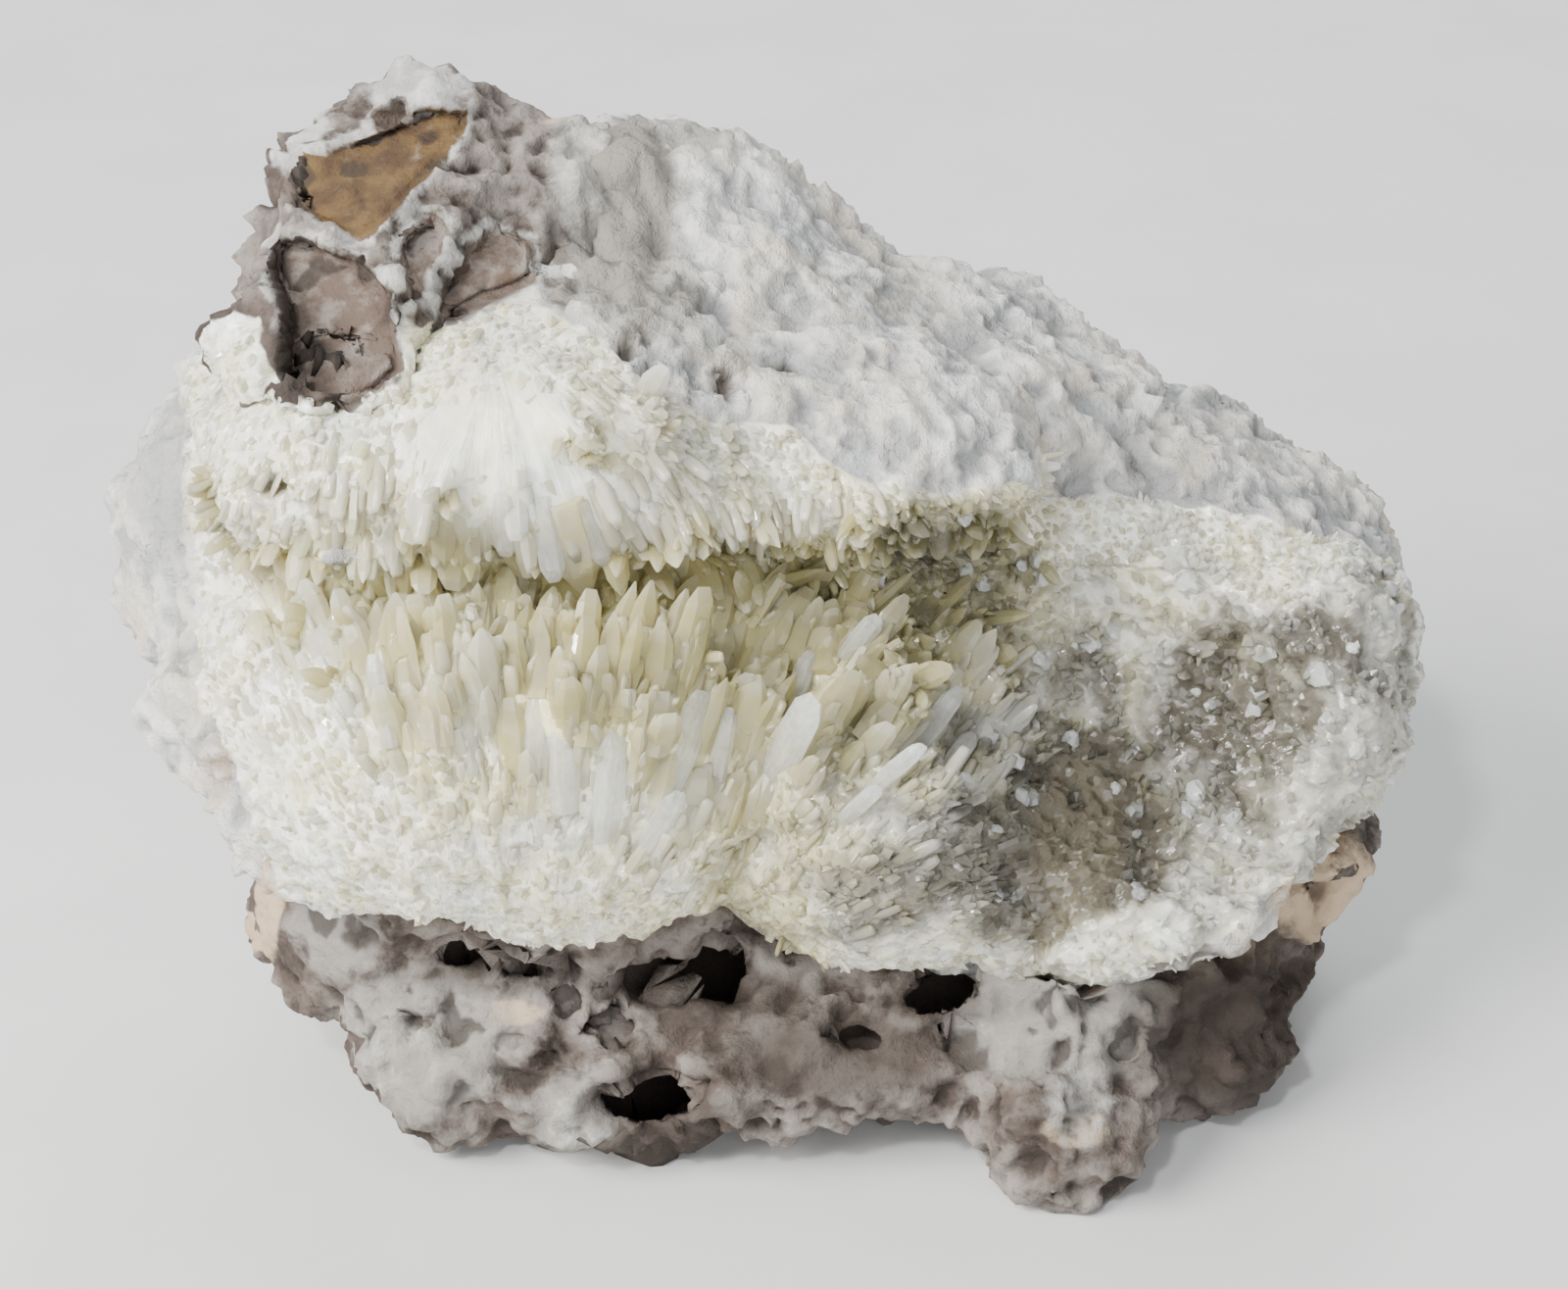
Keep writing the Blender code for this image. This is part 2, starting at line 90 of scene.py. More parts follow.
# One point of the growth chart: where it is seen, the way the crystals point in degrees from straight up,
# how far they stand out from the surface (0 lies along it, 1 stands straight out), how thickly spears,
# blades and grains grow there, their size, and how honey-coloured, how clear and how grey they are. The grey
# is partly the crystals' own tone and partly painted shade, darkest in the bowl and the bulge where shade falls.
Growth = namedtuple("Growth", "across up lean out spears blades grains size honey clear grey")
GROWTH_CHART = [
    # the upper row of the lower wall, from left to right
    Growth(-44.0, 2.0, -32, 0.20, 0.0, 0.0, 1.0, 0.7, 0.10, 0.1, 0.1),
    Growth(-38.0, 1.5, -22, 0.10, 0.6, 0.4, 0.8, 0.8, 0.35, 0.3, 0.0),
    Growth(-30.8, 1.0, -12, 0.10, 1.0, 0.5, 0.5, 0.95, 0.7, 0.3, 0.0),
    Growth(-19.2, 0.8, 2, 0.10, 1.0, 0.5, 0.5, 1.0, 0.95, 0.3, 0.0),
    Growth(-7.7, 1.0, 12, 0.10, 1.0, 0.5, 0.5, 1.0, 1.0, 0.4, 0.05),
    Growth(1.5, 1.3, 26, 0.10, 1.0, 0.5, 0.5, 1.0, 0.95, 0.5, 0.35),
    Growth(8.5, 1.3, 38, 0.12, 0.8, 0.5, 0.7, 0.8, 0.9, 0.5, 0.6),
    # the middle of the lower wall
    Growth(-38.5, -5.0, -30, 0.10, 0.1, 0.3, 1.0, 0.75, 0.2, 0.2, 0.0),
    Growth(-27.0, -4.8, -9, 0.10, 0.8, 0.6, 0.8, 0.9, 0.5, 0.3, 0.0),
    Growth(-16.9, -5.6, 3, 0.10, 1.0, 0.6, 0.6, 1.05, 0.9, 0.4, 0.0),
    Growth(-7.7, -6.3, 13, 0.10, 1.0, 0.6, 0.6, 1.05, 0.95, 0.5, 0.0),
    Growth(2.3, -6.3, 30, 0.10, 1.0, 0.5, 0.5, 1.0, 0.9, 0.6, 0.45),
    Growth(10.0, -3.3, 40, 0.2, 0.4, 0.4, 1.0, 0.75, 0.6, 0.4, 0.5),
    # the broken front of the belly
    Growth(-43.0, -7.0, -38, 0.30, 0.0, 0.0, 1.0, 0.7, 0.0, 0.1, 0.0),
    Growth(-35.0, -10.5, -30, 0.10, 0.0, 0.1, 1.0, 0.8, 0.5, 0.2, 0.0),
    Growth(-25.5, -10.5, -6, 0.0, 0.1, 0.4, 1.0, 0.85, 0.5, 0.3, 0.0),
    Growth(-15.0, -10.0, 6, 0.0, 0.5, 0.5, 0.8, 0.9, 0.45, 0.7, 0.0),
    Growth(-7.0, -11.0, 16, 0.0, 0.4, 0.5, 0.8, 0.9, 0.5, 0.6, 0.1),
    Growth(-38.0, -16.3, -48, 0.25, 0.0, 0.0, 1.0, 0.7, 0.0, 0.1, 0.0),
    Growth(-27.5, -17.1, -2, 0.10, 0.0, 0.0, 1.0, 0.85, 0.45, 0.1, 0.0),
    Growth(-18.0, -17.5, 12, 0.05, 0.0, 0.1, 1.0, 0.9, 0.3, 0.3, 0.0),
    Growth(-9.5, -18.0, 30, 0.05, 0.0, 0.2, 1.0, 0.85, 0.5, 0.3, 0.15),
    Growth(-14.0, -23.5, 60, 0.30, 0.0, 0.0, 1.0, 0.7, 0.15, 0.1, 0.05),
    Growth(-27.0, -22.5, 0, 0.30, 0.0, 0.0, 1.0, 0.7, 0.1, 0.1, 0.0),
    # the bulge beside it
    Growth(-2.5, -19.5, 22, 0.05, 0.0, 0.2, 1.0, 0.7, 0.8, 0.2, 0.5),
    Growth(4.6, -13.3, 45, 0.08, 0.1, 0.3, 1.0, 0.8, 0.5, 0.4, 0.6),
    Growth(7.7, -19.5, 62, 0.08, 0.0, 0.15, 1.0, 0.8, 0.4, 0.3, 0.8),
    Growth(13.8, -7.9, 40, 0.25, 0.2, 0.3, 1.0, 0.8, 0.2, 0.4, 0.6),
    Growth(15.4, -17.1, 62, 0.3, 0.0, 0.1, 1.0, 0.9, 0.5, 0.2, 1.2),
    Growth(11.0, -26.0, 85, 0.2, 0.0, 0.1, 1.0, 0.75, 0.1, 0.1, 0.15),
    # the bowl
    Growth(16.5, 4.5, 60, 0.80, 0.0, 0.0, 1.0, 0.8, 0.8, 0.1, 0.7),
    Growth(23.0, -3.3, 20, 0.80, 0.0, 0.0, 1.0, 1.0, 0.45, 0.1, 0.75),
    Growth(29.0, 3.0, 20, 0.80, 0.0, 0.0, 1.0, 1.0, 0.1, 0.1, 0.35),
    Growth(34.6, -2.0, -30, 0.80, 0.0, 0.0, 1.0, 1.0, 0.3, 0.1, 0.9),
    Growth(22.5, -12.0, 10, 0.80, 0.0, 0.0, 1.0, 1.0, 0.7, 0.1, 1.5),
    Growth(23.0, -18.0, 10, 0.80, 0.0, 0.0, 1.0, 1.0, 0.7, 0.1, 1.5),
    Growth(33.5, -10.0, -40, 0.80, 0.0, 0.0, 1.0, 1.0, 0.35, 0.1, 1.0),
    Growth(43.0, -1.7, -60, 0.80, 0.0, 0.0, 1.0, 0.9, 0.1, 0.1, 0.95),
    # the white rims of the bowl
    Growth(23.0, 11.0, 200, 0.80, 0.0, 0.0, 1.0, 0.6, 0.0, 0.1, 0.0),
    Growth(38.5, 8.0, 200, 0.80, 0.0, 0.0, 1.0, 0.6, 0.0, 0.1, 0.0),
    Growth(49.0, 0.6, -60, 0.80, 0.0, 0.0, 1.0, 0.6, 0.0, 0.1, 0.65),
    Growth(46.5, -11.0, 90, 0.80, 0.0, 0.0, 1.0, 0.6, 0.0, 0.1, 0.6),
    Growth(35.6, -19.0, 0, 0.80, 0.0, 0.0, 1.0, 0.6, 0.0, 0.1, 0.5),
    Growth(25.4, -24.5, 0, 0.80, 0.0, 0.0, 1.0, 0.6, 0.0, 0.1, 0.3),
    # the cream band at the left of the upper wall
    Growth(-44.5, 17.0, 215, 0.15, 0.0, 0.0, 1.0, 0.6, 0.0, 0.1, 0.15),
    Growth(-41.5, 10.5, 205, 0.10, 0.0, 0.4, 1.0, 0.7, 0.1, 0.2, 0.2),
    Growth(-35.4, 17.5, 190, 0.0, 0.0, 0.15, 1.0, 0.9, 0.3, 0.1, 0.0),
    Growth(-33.5, 11.5, 183, 0.0, 0.0, 0.5, 0.9, 1.2, 0.35, 0.2, 0.0),
    Growth(-29.2, 20.5, 172, 0.0, 0.0, 0.0, 1.0, 0.7, 0.25, 0.1, 0.0),
    # the fan of blades
    Growth(-26.0, 16.5, 196, -0.12, 0.0, 0.0, 0.0, 1.6, 0.15, 0.3, 0.0),
    Growth(-23.0, 18.5, 181, -0.12, 0.0, 0.0, 0.0, 1.7, 0.15, 0.3, 0.0),
    Growth(-22.5, 12.0, 177, -0.15, 0.0, 0.25, 0.0, 1.5, 0.08, 0.4, 0.0),
    Growth(-19.0, 17.5, 152, -0.12, 0.0, 0.0, 0.0, 1.7, 0.12, 0.3, 0.0),
    Growth(-16.5, 12.5, 154, -0.15, 0.0, 0.25, 0.0, 1.45, 0.08, 0.4, 0.0),
    Growth(-24.5, 9.4, 184, -0.05, 0.0, 1.0, 0.0, 1.5, 0.15, 0.4, 0.0),
    Growth(-18.5, 8.8, 170, -0.05, 0.0, 1.0, 0.0, 1.5, 0.15, 0.4, 0.0),
    Growth(-13.0, 9.6, 152, -0.05, 0.0, 0.8, 0.4, 1.15, 0.2, 0.4, 0.0),
    Growth(-13.5, 19.5, 128, 0.0, 0.0, 0.2, 1.0, 0.9, 0.12, 0.3, 0.1),
    Growth(-22.0, 24.5, 180, 0.30, 0.0, 0.1, 1.0, 0.7, 0.3, 0.0, 0.0),
    Growth(-15.0, 24.0, 180, 0.30, 0.0, 0.0, 1.0, 0.7, 0.2, 0.0, 0.2),
    # the granular stretch and the second bulge of the upper wall
    Growth(-8.5, 17.5, 150, 0.60, 0.0, 0.1, 1.0, 0.9, 0.1, 0.3, 0.25),
    Growth(-7.0, 11.5, 160, 0.30, 0.2, 0.5, 1.0, 0.8, 0.45, 0.4, 0.2),
    Growth(0.5, 14.5, 175, 0.60, 0.0, 0.0, 1.0, 0.7, 0.15, 0.2, 0.0),
    Growth(0.0, 9.8, 178, 0.20, 0.0, 0.5, 1.0, 0.7, 0.35, 0.3, 0.0),
    Growth(5.5, 10.6, 165, 0.25, 0.0, 0.4, 1.0, 0.7, 0.3, 0.2, 0.1),
    # the depth of the cleft
    Growth(-34.6, 6.0, 180, 0.30, 0.5, 0.4, 0.8, 0.7, 0.75, 0.2, 0.0),
    Growth(-26.0, 7.6, 180, 0.25, 0.9, 0.3, 0.5, 0.75, 0.9, 0.3, 0.0),
    Growth(-15.0, 8.0, 175, 0.25, 0.9, 0.3, 0.5, 0.75, 0.95, 0.3, 0.0),
    Growth(-19.2, 5.4, 180, 0.40, 0.8, 0.3, 0.5, 0.75, 1.0, 0.3, 0.0),
    Growth(-7.0, 6.0, 170, 0.40, 0.8, 0.3, 0.5, 0.75, 1.0, 0.3, 0.1),
    Growth(4.0, 6.5, 160, 0.50, 0.2, 0.4, 0.9, 0.7, 1.0, 0.2, 0.4),
    Growth(10.0, 7.5, 150, 0.60, 0.0, 0.0, 1.0, 0.7, 1.0, 0.1, 1.0),
]

# The outline of the ground where crystals show, across and up from the eye.
CRYSTAL_GROUND = [
    (-46.5, 25.0), (-42.8, 25.5), (-41.2, 21.5), (-38.8, 18.9), (-34.0, 18.6), (-30.4, 21.0), (-29.8, 25.0), (-25.0, 27.0),
    (-19.5, 27.2), (-14.0, 23.0), (-11.0, 21.5), (-7.5, 18.0), (0.0, 17.0), (7.5, 12.0), (17.0, 12.5),
    (24.0, 12.0), (33.0, 10.5), (44.0, 8.5), (50.5, 4.0), (53.0, -2.0), (50.0, -10.0), (44.5, -16.5),
    (37.0, -20.5), (30.0, -25.0), (24.0, -29.0), (8.0, -30.0), (-4.0, -26.0), (-14.0, -27.0),
    (-27.0, -24.5), (-36.0, -22.0), (-43.0, -15.5), (-47.0, -6.0), (-46.0, 4.0), (-47.0, 14.0),
]

# The sunken panes of the knob: how ochre each floor is, its depth under the rim at the left and at the right,
# and its outline.
Pane = namedtuple("Pane", "ochre left right outline")
PANES = [
    Pane(0.1, 3.2, 0.7, [(-40.6, 32), (-37.5, 31.8), (-33.5, 30.2), (-31.2, 28), (-30.8, 25), (-30, 21.6),
                         (-32.4, 20), (-36.6, 19.2), (-39, 21), (-40.4, 25)]),
    Pane(1.0, 1.1, 0.5, [(-38, 34.2), (-36, 37.2), (-32.4, 39.4), (-28, 42), (-25, 41.8), (-25.4, 40), (-30, 35),
                         (-32.6, 32.6), (-35.4, 32.8)]),
    Pane(0.0, 1.4, 0.9, [(-29.8, 27.2), (-30, 31), (-27.4, 34), (-26.6, 32.4), (-28.0, 29.6), (-28.6, 27)]),
    Pane(0.2, 1.8, 0.6, [(-26.8, 27.4), (-25.4, 30.2), (-23.6, 32.4), (-20, 31.6), (-19.6, 28.6), (-22, 27.4),
                         (-26.6, 25.4)]),
    Pane(0.0, 0.8, 0.5, [(-32.2, 42.0), (-30.2, 42.8), (-29.6, 41.4), (-31.6, 40.6)]),
]

# The opening of the cleft. What lies deeper in it than the first number, in millimetres, is brought nearer by
# the second.
CLEFT = [(-38, 3.0), (-30, 2.0), (-10, 1.6), (5, 2.4), (12, 4.5), (13.5, 8.0), (5, 9.6), (-10, 9.2), (-25, 9.2),
         (-36, 8.4)]
CLEFT_DEPTH = 0.3
CLEFT_SQUEEZE = 0.09

# Points farther than this from the floor of a pane or the rim of the cleft, in millimetres, stay as they are.
PANE_REACH = 6.0
PLUG_DEPTHS = (0.9, 3.0)
PLUG_SHARE = 0.93
CLEFT_REACH = 24.0

# Shifts that bring the outline to the photograph's: where, how wide, and how far to the right and up.
Push = namedtuple("Push", "across up reach right upward")
PUSHES = [
    Push(7.2, 35.6, 7.0, -1.6, -3.2),
    Push(24.5, 26.5, 5.5, -0.9, -1.5),
    Push(-46.5, -11.0, 9.0, 2.2, 0.6),
    Push(-53.0, 4.0, 6.0, 1.4, 0.0),
    Push(-37.2, 40.0, 3.4, -3.2, 1.0),
    Push(-15.0, 39.5, 4.0, 0.4, 1.6),
    Push(-18.0, 43.0, 3.5, 0.0, -1.2),
    Push(-42.5, 33.8, 2.6, 1.6, -0.3),
    Push(-34.2, 45.0, 3.0, 1.0, -1.2),
    Push(14.5, 30.5, 5.0, -0.4, -0.9),
    Push(51.0, -3.5, 5.0, -1.4, 0.0),
    Push(45.5, -17.5, 3.5, 1.4, 0.0),
    Push(-41.5, 26.0, 3.2, 1.2, 0.0),
]

# Holes and crevices: where each is seen, its half sizes, its turn in degrees and its depth. The skins are sunk by it
# and darkened with painted shade.
Cut = namedtuple("Cut", "across up wide high turn depth")
CUTS = [
    Cut(-24.0, -24.6, 2.4, 1.3, -12, 4.0),
    Cut(-19.0, -25.6, 3.6, 0.9, -8, 3.0),
    Cut(-9.0, -26.6, 5.0, 1.4, 8, 4.5),
    Cut(-4.9, -24.6, 1.3, 2.4, 20, 4.5),
    Cut(-10.5, -35.4, 4.6, 1.6, 8, 4.0),
    Cut(12.7, -27.0, 3.0, 1.3, 24, 4.0),
    Cut(5.2, -30.6, 2.0, 0.8, -20, 2.5),
    Cut(-0.4, 22.3, 1.5, 0.45, 4, 1.6),
    Cut(-12.3, 23.4, 0.8, 1.1, 0, 1.3),
    Cut(-4.6, 20.6, 0.5, 1.5, 12, 1.2),
    Cut(-17.6, 31.5, 0.8, 2.4, 10, 1.0),
    Cut(11.4, 5.6, 0.5, 0.5, 0, 1.5),
    Cut(-40.4, 12.5, 1.1, 0.9, 0, 1.2),
    Cut(-29.0, -29.5, 1.4, 0.7, 0, 1.5),
    Cut(-14.0, -29.5, 1.8, 0.8, 30, 2.0),
    Cut(-18.5, -32.5, 1.6, 0.7, -10, 1.8),
    Cut(20.6, -22.4, 1.0, 3.0, -30, 1.5),
]

# A patch of paint on a rock: which paint ("old" is brownish grey, "shade" is painted shade where shadow falls in
# hollows, crevices, the panes' edges, the bowl and the base), where it is seen, its half sizes and its strength.
Patch = namedtuple("Patch", "paint across up wide high strength")
RAMP = 2.4
RAMP_REACH = 5.5
PATCHES = [
    Patch("pale", -29.0, 44.5, 5.0, 2.6, 1.0),
    Patch("pale", -37.2, 40.0, 3.2, 3.4, 1.0),
    Patch("pale", -15.0, 36.0, 4.5, 7.0, 0.45),
    Patch("pale", -31.0, -31.5, 6.5, 4.6, 0.25),
    Patch("old", -29.0, -31.5, 9.0, 6.5, 0.9),
    Patch("pale", -16.0, -37.5, 3.4, 3.4, 0.35),
    Patch("old", -16.0, -37.5, 4.4, 4.4, 0.9),
    Patch("pale", 21.0, -29.5, 8.0, 5.0, 0.2),
    Patch("old", 22.0, -29.0, 11.0, 6.5, 1.0),
    Patch("pale", 28.5, -24.5, 7.0, 3.0, 0.25),
    Patch("pale", 23.0, -36.0, 3.0, 4.0, 0.5),
    Patch("old", -35.0, -22.5, 4.0, 5.0, 0.7),
    Patch("tan", 41.5, -19.0, 4.4, 5.0, 0.8),
    Patch("tan", 33.0, -27.0, 5.0, 4.0, 0.4),
    Patch("tan", 36.5, -24.0, 2.2, 3.0, 0.6),
    Patch("tan", 22.8, -38.0, 3.0, 1.8, 0.8),
    Patch("tan", -41.0, -20.0, 1.6, 6.0, 0.9),
    Patch("tan", -21.5, -29.0, 3.6, 1.3, 0.7),
    Patch("tan", -14.0, 41.4, 6.0, 0.9, 0.8),
    Patch("tan", -46.8, -9.0, 2.2, 6.0, 0.5),
    Patch("raise", -12.0, 35.0, 3.6, 9.0, 1.0),
    Patch("raise", -16.5, 28.0, 5.0, 2.6, 1.0),
    Patch("smooth", 5.0, -32.5, 12.0, 3.4, 1.0),
        Patch("smooth", -37.0, -22.0, 4.0, 5.5, 0.8),
    Patch("shade", 4.0, -32.5, 11.0, 4.0, 0.8),
    Patch("shade", 22.8, -15.5, 4.5, 7.5, 0.6),
    Patch("shade", 36.5, -30.5, 10.5, 8.0, 1.0),
    Patch("shade", -6.0, -27.5, 9.0, 2.5, 0.6),
    Patch("shade", -22.0, -26.0, 8.0, 1.6, 0.5),
    Patch("shade", -10.0, -36.5, 7.0, 3.0, 0.7),
    Patch("shade", -17.5, 29.5, 2.0, 5.0, 0.6),
    Patch("shade", -11.5, 24.5, 2.0, 2.6, 0.45),
    Patch("shade", -4.5, 21.0, 1.4, 3.0, 0.4),
    Patch("shade", -41.0, 12.0, 1.8, 1.8, 0.5),
    Patch("shade", -40.0, 26.0, 1.5, 6.8, 1.0),
    Patch("shade", -37.0, 20.4, 4.0, 0.9, 0.7),
    Patch("shade", -37.8, 34.4, 1.3, 1.3, 0.7),
    Patch("shade", -25.6, 27.6, 1.3, 1.6, 0.7),
    Patch("shade", 22.0, -37.0, 6.0, 5.0, 0.35),
    Patch("shade", 12.0, -28.5, 6.0, 1.6, 0.6),
    Patch("old", -13.5, 34.0, 6.0, 9.5, 1.0),
    Patch("old", -9.0, 26.5, 4.0, 5.0, 0.6),
    Patch("old", -10.0, 40.0, 8.0, 2.5, 0.6),
    Patch("old", 4.0, 27.0, 5.0, 6.0, 0.35),
    Patch("old", 30.0, 15.0, 12.0, 3.0, 0.3),
]

# Single clear crystals: where each is rooted, the way it points, how far it stands out, its length, width
# and thickness.
Clear = namedtuple("Clear", "across up lean out length width thick")
CLEAR_CRYSTALS = [
    Clear(-0.4, -9.2, 34, 0.12, 9.6, 3.0, 1.6),
    Clear(-13.9, -13.6, 2, 0.10, 7.0, 2.9, 1.7),
    Clear(-17.2, -11.8, -4, 0.10, 5.6, 2.6, 1.5),
    Clear(-19.6, -9.2, 2, 0.12, 5.2, 1.9, 1.4),
    Clear(-8.6, -10.2, 14, 0.12, 6.4, 3.2, 1.8),
    Clear(-5.2, -9.6, 8, 0.12, 4.6, 1.8, 1.2),
    Clear(-10.6, -15.4, 30, 0.12, 4.4, 2.0, 1.3),
    Clear(3.0, 2.2, 42, 0.20, 4.4, 1.8, 1.2),
    Clear(5.2, -0.6, 40, 0.20, 3.6, 1.8, 1.3),
    Clear(0.6, -4.6, 24, 0.12, 4.6, 1.7, 1.2),
    Clear(10.6, -7.8, 42, 0.20, 5.6, 1.8, 1.4),
    Clear(8.0, -10.4, 40, 0.20, 4.6, 1.6, 1.3),
    Clear(13.0, -9.6, 44, 0.20, 4.2, 1.6, 1.3),
    Clear(5.0, -13.4, 36, 0.20, 4.4, 1.6, 1.2),
    Clear(-31.2, -6.6, -8, 0.12, 5.4, 1.6, 1.2),
    Clear(-24.5, -9.0, -10, 0.12, 4.6, 1.5, 1.2),
    Clear(-22.0, 10.8, 182, 0.02, 4.6, 1.9, 1.2),
    Clear(-18.9, 10.2, 172, 0.02, 5.4, 2.0, 1.2),
    Clear(-15.6, 10.2, 160, 0.02, 4.6, 1.8, 1.1),
]

# One kind of crystal: the attribute that says how thickly it grows, its forms, the least distance between
# two, its length and width, how much these vary, how far it strays from the growth vectors and how deep it sits.
Layer = namedtuple("Layer", "name cover shapes spacing length width spread tilt sink")


def apply_modifiers(thing):
    graph = bpy.context.evaluated_depsgraph_get()
    mesh = bpy.data.meshes.new_from_object(thing.evaluated_get(graph))
    thing.modifiers.clear()
    thing.data = mesh
    return thing


def new_object(name, mesh):
    thing = bpy.data.objects.new(name, mesh)
    bpy.context.scene.collection.objects.link(thing)
    return thing


def joined_copy(name, nodes, swell):
    """One object from welded copies of the solids, each grown a little along its normals."""
    bm = bmesh.new()
    for node in nodes:
        bm.from_mesh(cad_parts[node].data)
    bmesh.ops.remove_doubles(bm, verts=bm.verts, dist=1e-6)
    bm.normal_update()
    shifts = [vertex.normal * swell for vertex in bm.verts]
    for vertex, shift in zip(bm.verts, shifts):
        vertex.co += shift
    mesh = bpy.data.meshes.new(name)
    bm.to_mesh(mesh)
    bm.free()
    return new_object(name, mesh)


def keep_largest(thing):
    """Drops the small closed shells that lie inside or beside the main one."""
    mesh = thing.data
    links = np.empty(len(mesh.edges) * 2, dtype=np.int64)
    mesh.edges.foreach_get("vertices", links)
    first, second = links.reshape(-1, 2).T
    shell = np.arange(len(mesh.vertices))
    while True:
        least = np.minimum(shell[first], shell[second])
        before = shell.copy()
        np.minimum.at(shell, first, least)
        np.minimum.at(shell, second, least)
        shell = shell[shell]
        if np.array_equal(before, shell):
            break
    labels, counts = np.unique(shell, return_counts=True)
    main = labels[np.argmax(counts)]
    bm = bmesh.new()
    bm.from_mesh(mesh)
    bm.verts.ensure_lookup_table()
    spare = [bm.verts[index] for index in np.nonzero(shell != main)[0]]
    bmesh.ops.delete(bm, geom=spare, context="VERTS")
    bm.to_mesh(mesh)
    bm.free()
    return thing


def voxel_skin(thing, voxel, rounding):
    """Rebuilds the object as one even skin and rounds it."""
    voxels = thing.modifiers.new("voxels", "REMESH")
    voxels.mode = "VOXEL"
    voxels.voxel_size = voxel
    soft = thing.modifiers.new("rounding", "SMOOTH")
    soft.iterations = rounding
    apply_modifiers(thing)
    return keep_largest(thing)


def thin_hidden(thing, others):
    """Thins the faces that lie against other solids, where nothing shows. The floors of the panes stay fine."""
    tree = tree_of(*[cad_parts[node].data for node in others])
    points = points_of(thing.data)
    gaps = np.array([tree.find_nearest(Vector(point))[3] for point in points])
    across, up, near = in_view(points)
    panes = np.max([inside(across, up, hole.outline) for hole in PANES], axis=0)
    hidden = np.nonzero((gaps < HIDDEN_REACH) & (panes < -4))[0]
    group = thing.vertex_groups.new(name="hidden")
    group.add([int(index) for index in hidden], 1.0, "REPLACE")
    fewer = thing.modifiers.new("fewer", "DECIMATE")
    fewer.vertex_group = "hidden"
    fewer.ratio = 1 - len(hidden) / len(gaps) * (1 - HIDDEN_SHARE)
    apply_modifiers(thing)
    thing.vertex_groups.clear()
    return thing


def points_of(mesh):
    places = np.empty(len(mesh.vertices) * 3)
    mesh.vertices.foreach_get("co", places)
    return places.reshape(-1, 3)


def normals_of(mesh):
    ways = np.empty(len(mesh.vertices) * 3)
    mesh.vertex_normals.foreach_get("vector", ways)
    return ways.reshape(-1, 3)


def place_points(mesh, points):
    mesh.vertices.foreach_set("co", points.ravel())
    mesh.update()


def store(mesh, name, values):
    """Keeps one number or one vector for each vertex, by name."""
    vector = values.ndim == 2
    attribute = mesh.attributes.new(name, "FLOAT_VECTOR" if vector else "FLOAT", "POINT")
    attribute.data.foreach_set("vector" if vector else "value", values.astype(np.float32).ravel())


def stored(mesh, name):
    values = np.empty(len(mesh.vertices), dtype=np.float32)
    mesh.attributes[name].data.foreach_get("value", values)
    return values


def tree_of(*meshes):
    """One search tree over several meshes."""
    bm = bmesh.new()
    for mesh in meshes:
        bm.from_mesh(mesh)
    tree = BVHTree.FromBMesh(bm)
    bm.free()
    return tree


def in_view(points):
    """Where the eye sees the points, across and up in millimetres, and how far they are in front of the middle."""
    reach = points - MIDDLE
    near = reach @ BACK
    grown = EYE_DISTANCE / (EYE_DISTANCE - near)
    return reach @ SIDE * grown / MM, reach @ RISE * grown / MM, near / MM


def visible(points, normals, tree):
    """1 for the points that the eye sees and 0 for the others."""
    found = np.zeros(len(points))
    for index, (point, normal) in enumerate(zip(points, normals)):
        sight = EYE - point
        if normal @ sight > 0:
            start = Vector(point + normal * 0.4 * MM)
            found[index] = tree.ray_cast(start, Vector(sight).normalized())[0] is None
    return found


def smooth_step(low, high, values):
    part = np.clip((values - low) / (high - low), 0, 1)
    return part * part * (3 - 2 * part)


def fractal(points, size, octaves=4):
    """Uneven noise, from about -1 to 1, whose largest forms have this size."""
    return np.array([noise.fractal(Vector(point), 1.0, 2.0, octaves) for point in points / size])


def ways_of_noise(points, size):
    """An uneven shift for each point, for bending other patterns."""
    return np.array([noise.noise_vector(Vector(point)) for point in points / size])


def knobs(points, size):
    """How far rounded knobs stand out, from 0 in the creases between them to 1."""
    found = np.empty(len(points))
    for index, point in enumerate(points / size):
        near = noise.voronoi(Vector(point))[0]
        found[index] = near[1] - near[0]
    return np.clip(2.2 * found, 0, 1)


def hollows(points, size):
    """1 in the middle of round holes of this size and 0 between them."""
    found = np.array([noise.voronoi(Vector(point))[0][0] for point in points / size])
    return 1 - smooth_step(0.15, 0.45, found)


def inside(across, up, outline):
    """The distance to an outline, in millimetres, positive inside it."""
    least = np.full(len(across), 1e9)
    crossings = np.zeros(len(across), dtype=int)
    for (x1, y1), (x2, y2) in zip(outline, outline[1:] + outline[:1]):
        dx, dy = x2 - x1, y2 - y1
        part = np.clip(((across - x1) * dx + (up - y1) * dy) / (dx * dx + dy * dy), 0, 1)
        least = np.minimum(least, np.hypot(across - x1 - part * dx, up - y1 - part * dy))
        spans = (y1 > up) != (y2 > up)
        cut = x1 + (up - y1) * dx / np.where(dy == 0, 1e-9, dy)
        crossings += spans & (across < cut)
    return np.where(crossings % 2 == 1, least, -least)


def painted(paint, patches, across, up, seen):
    """How strongly one paint covers each point."""
    total = np.zeros(len(across))
    for patch in patches:
        if patch.paint != paint:
            continue
        far = np.hypot((across - patch.across) / patch.wide, (up - patch.up) / patch.high)
        total = np.maximum(total, patch.strength * (1 - smooth_step(0.5, 1.25, far)))
    return total * seen


def pushed(points):
    """The points, shifted where the outline needs it."""
    across, up, near = in_view(points)
    for push in PUSHES:
        share = np.exp(-((across - push.across) ** 2 + (up - push.up) ** 2) / push.reach ** 2)
        points = points + share[:, None] * (SIDE * push.right + RISE * push.upward) * MM
    return points


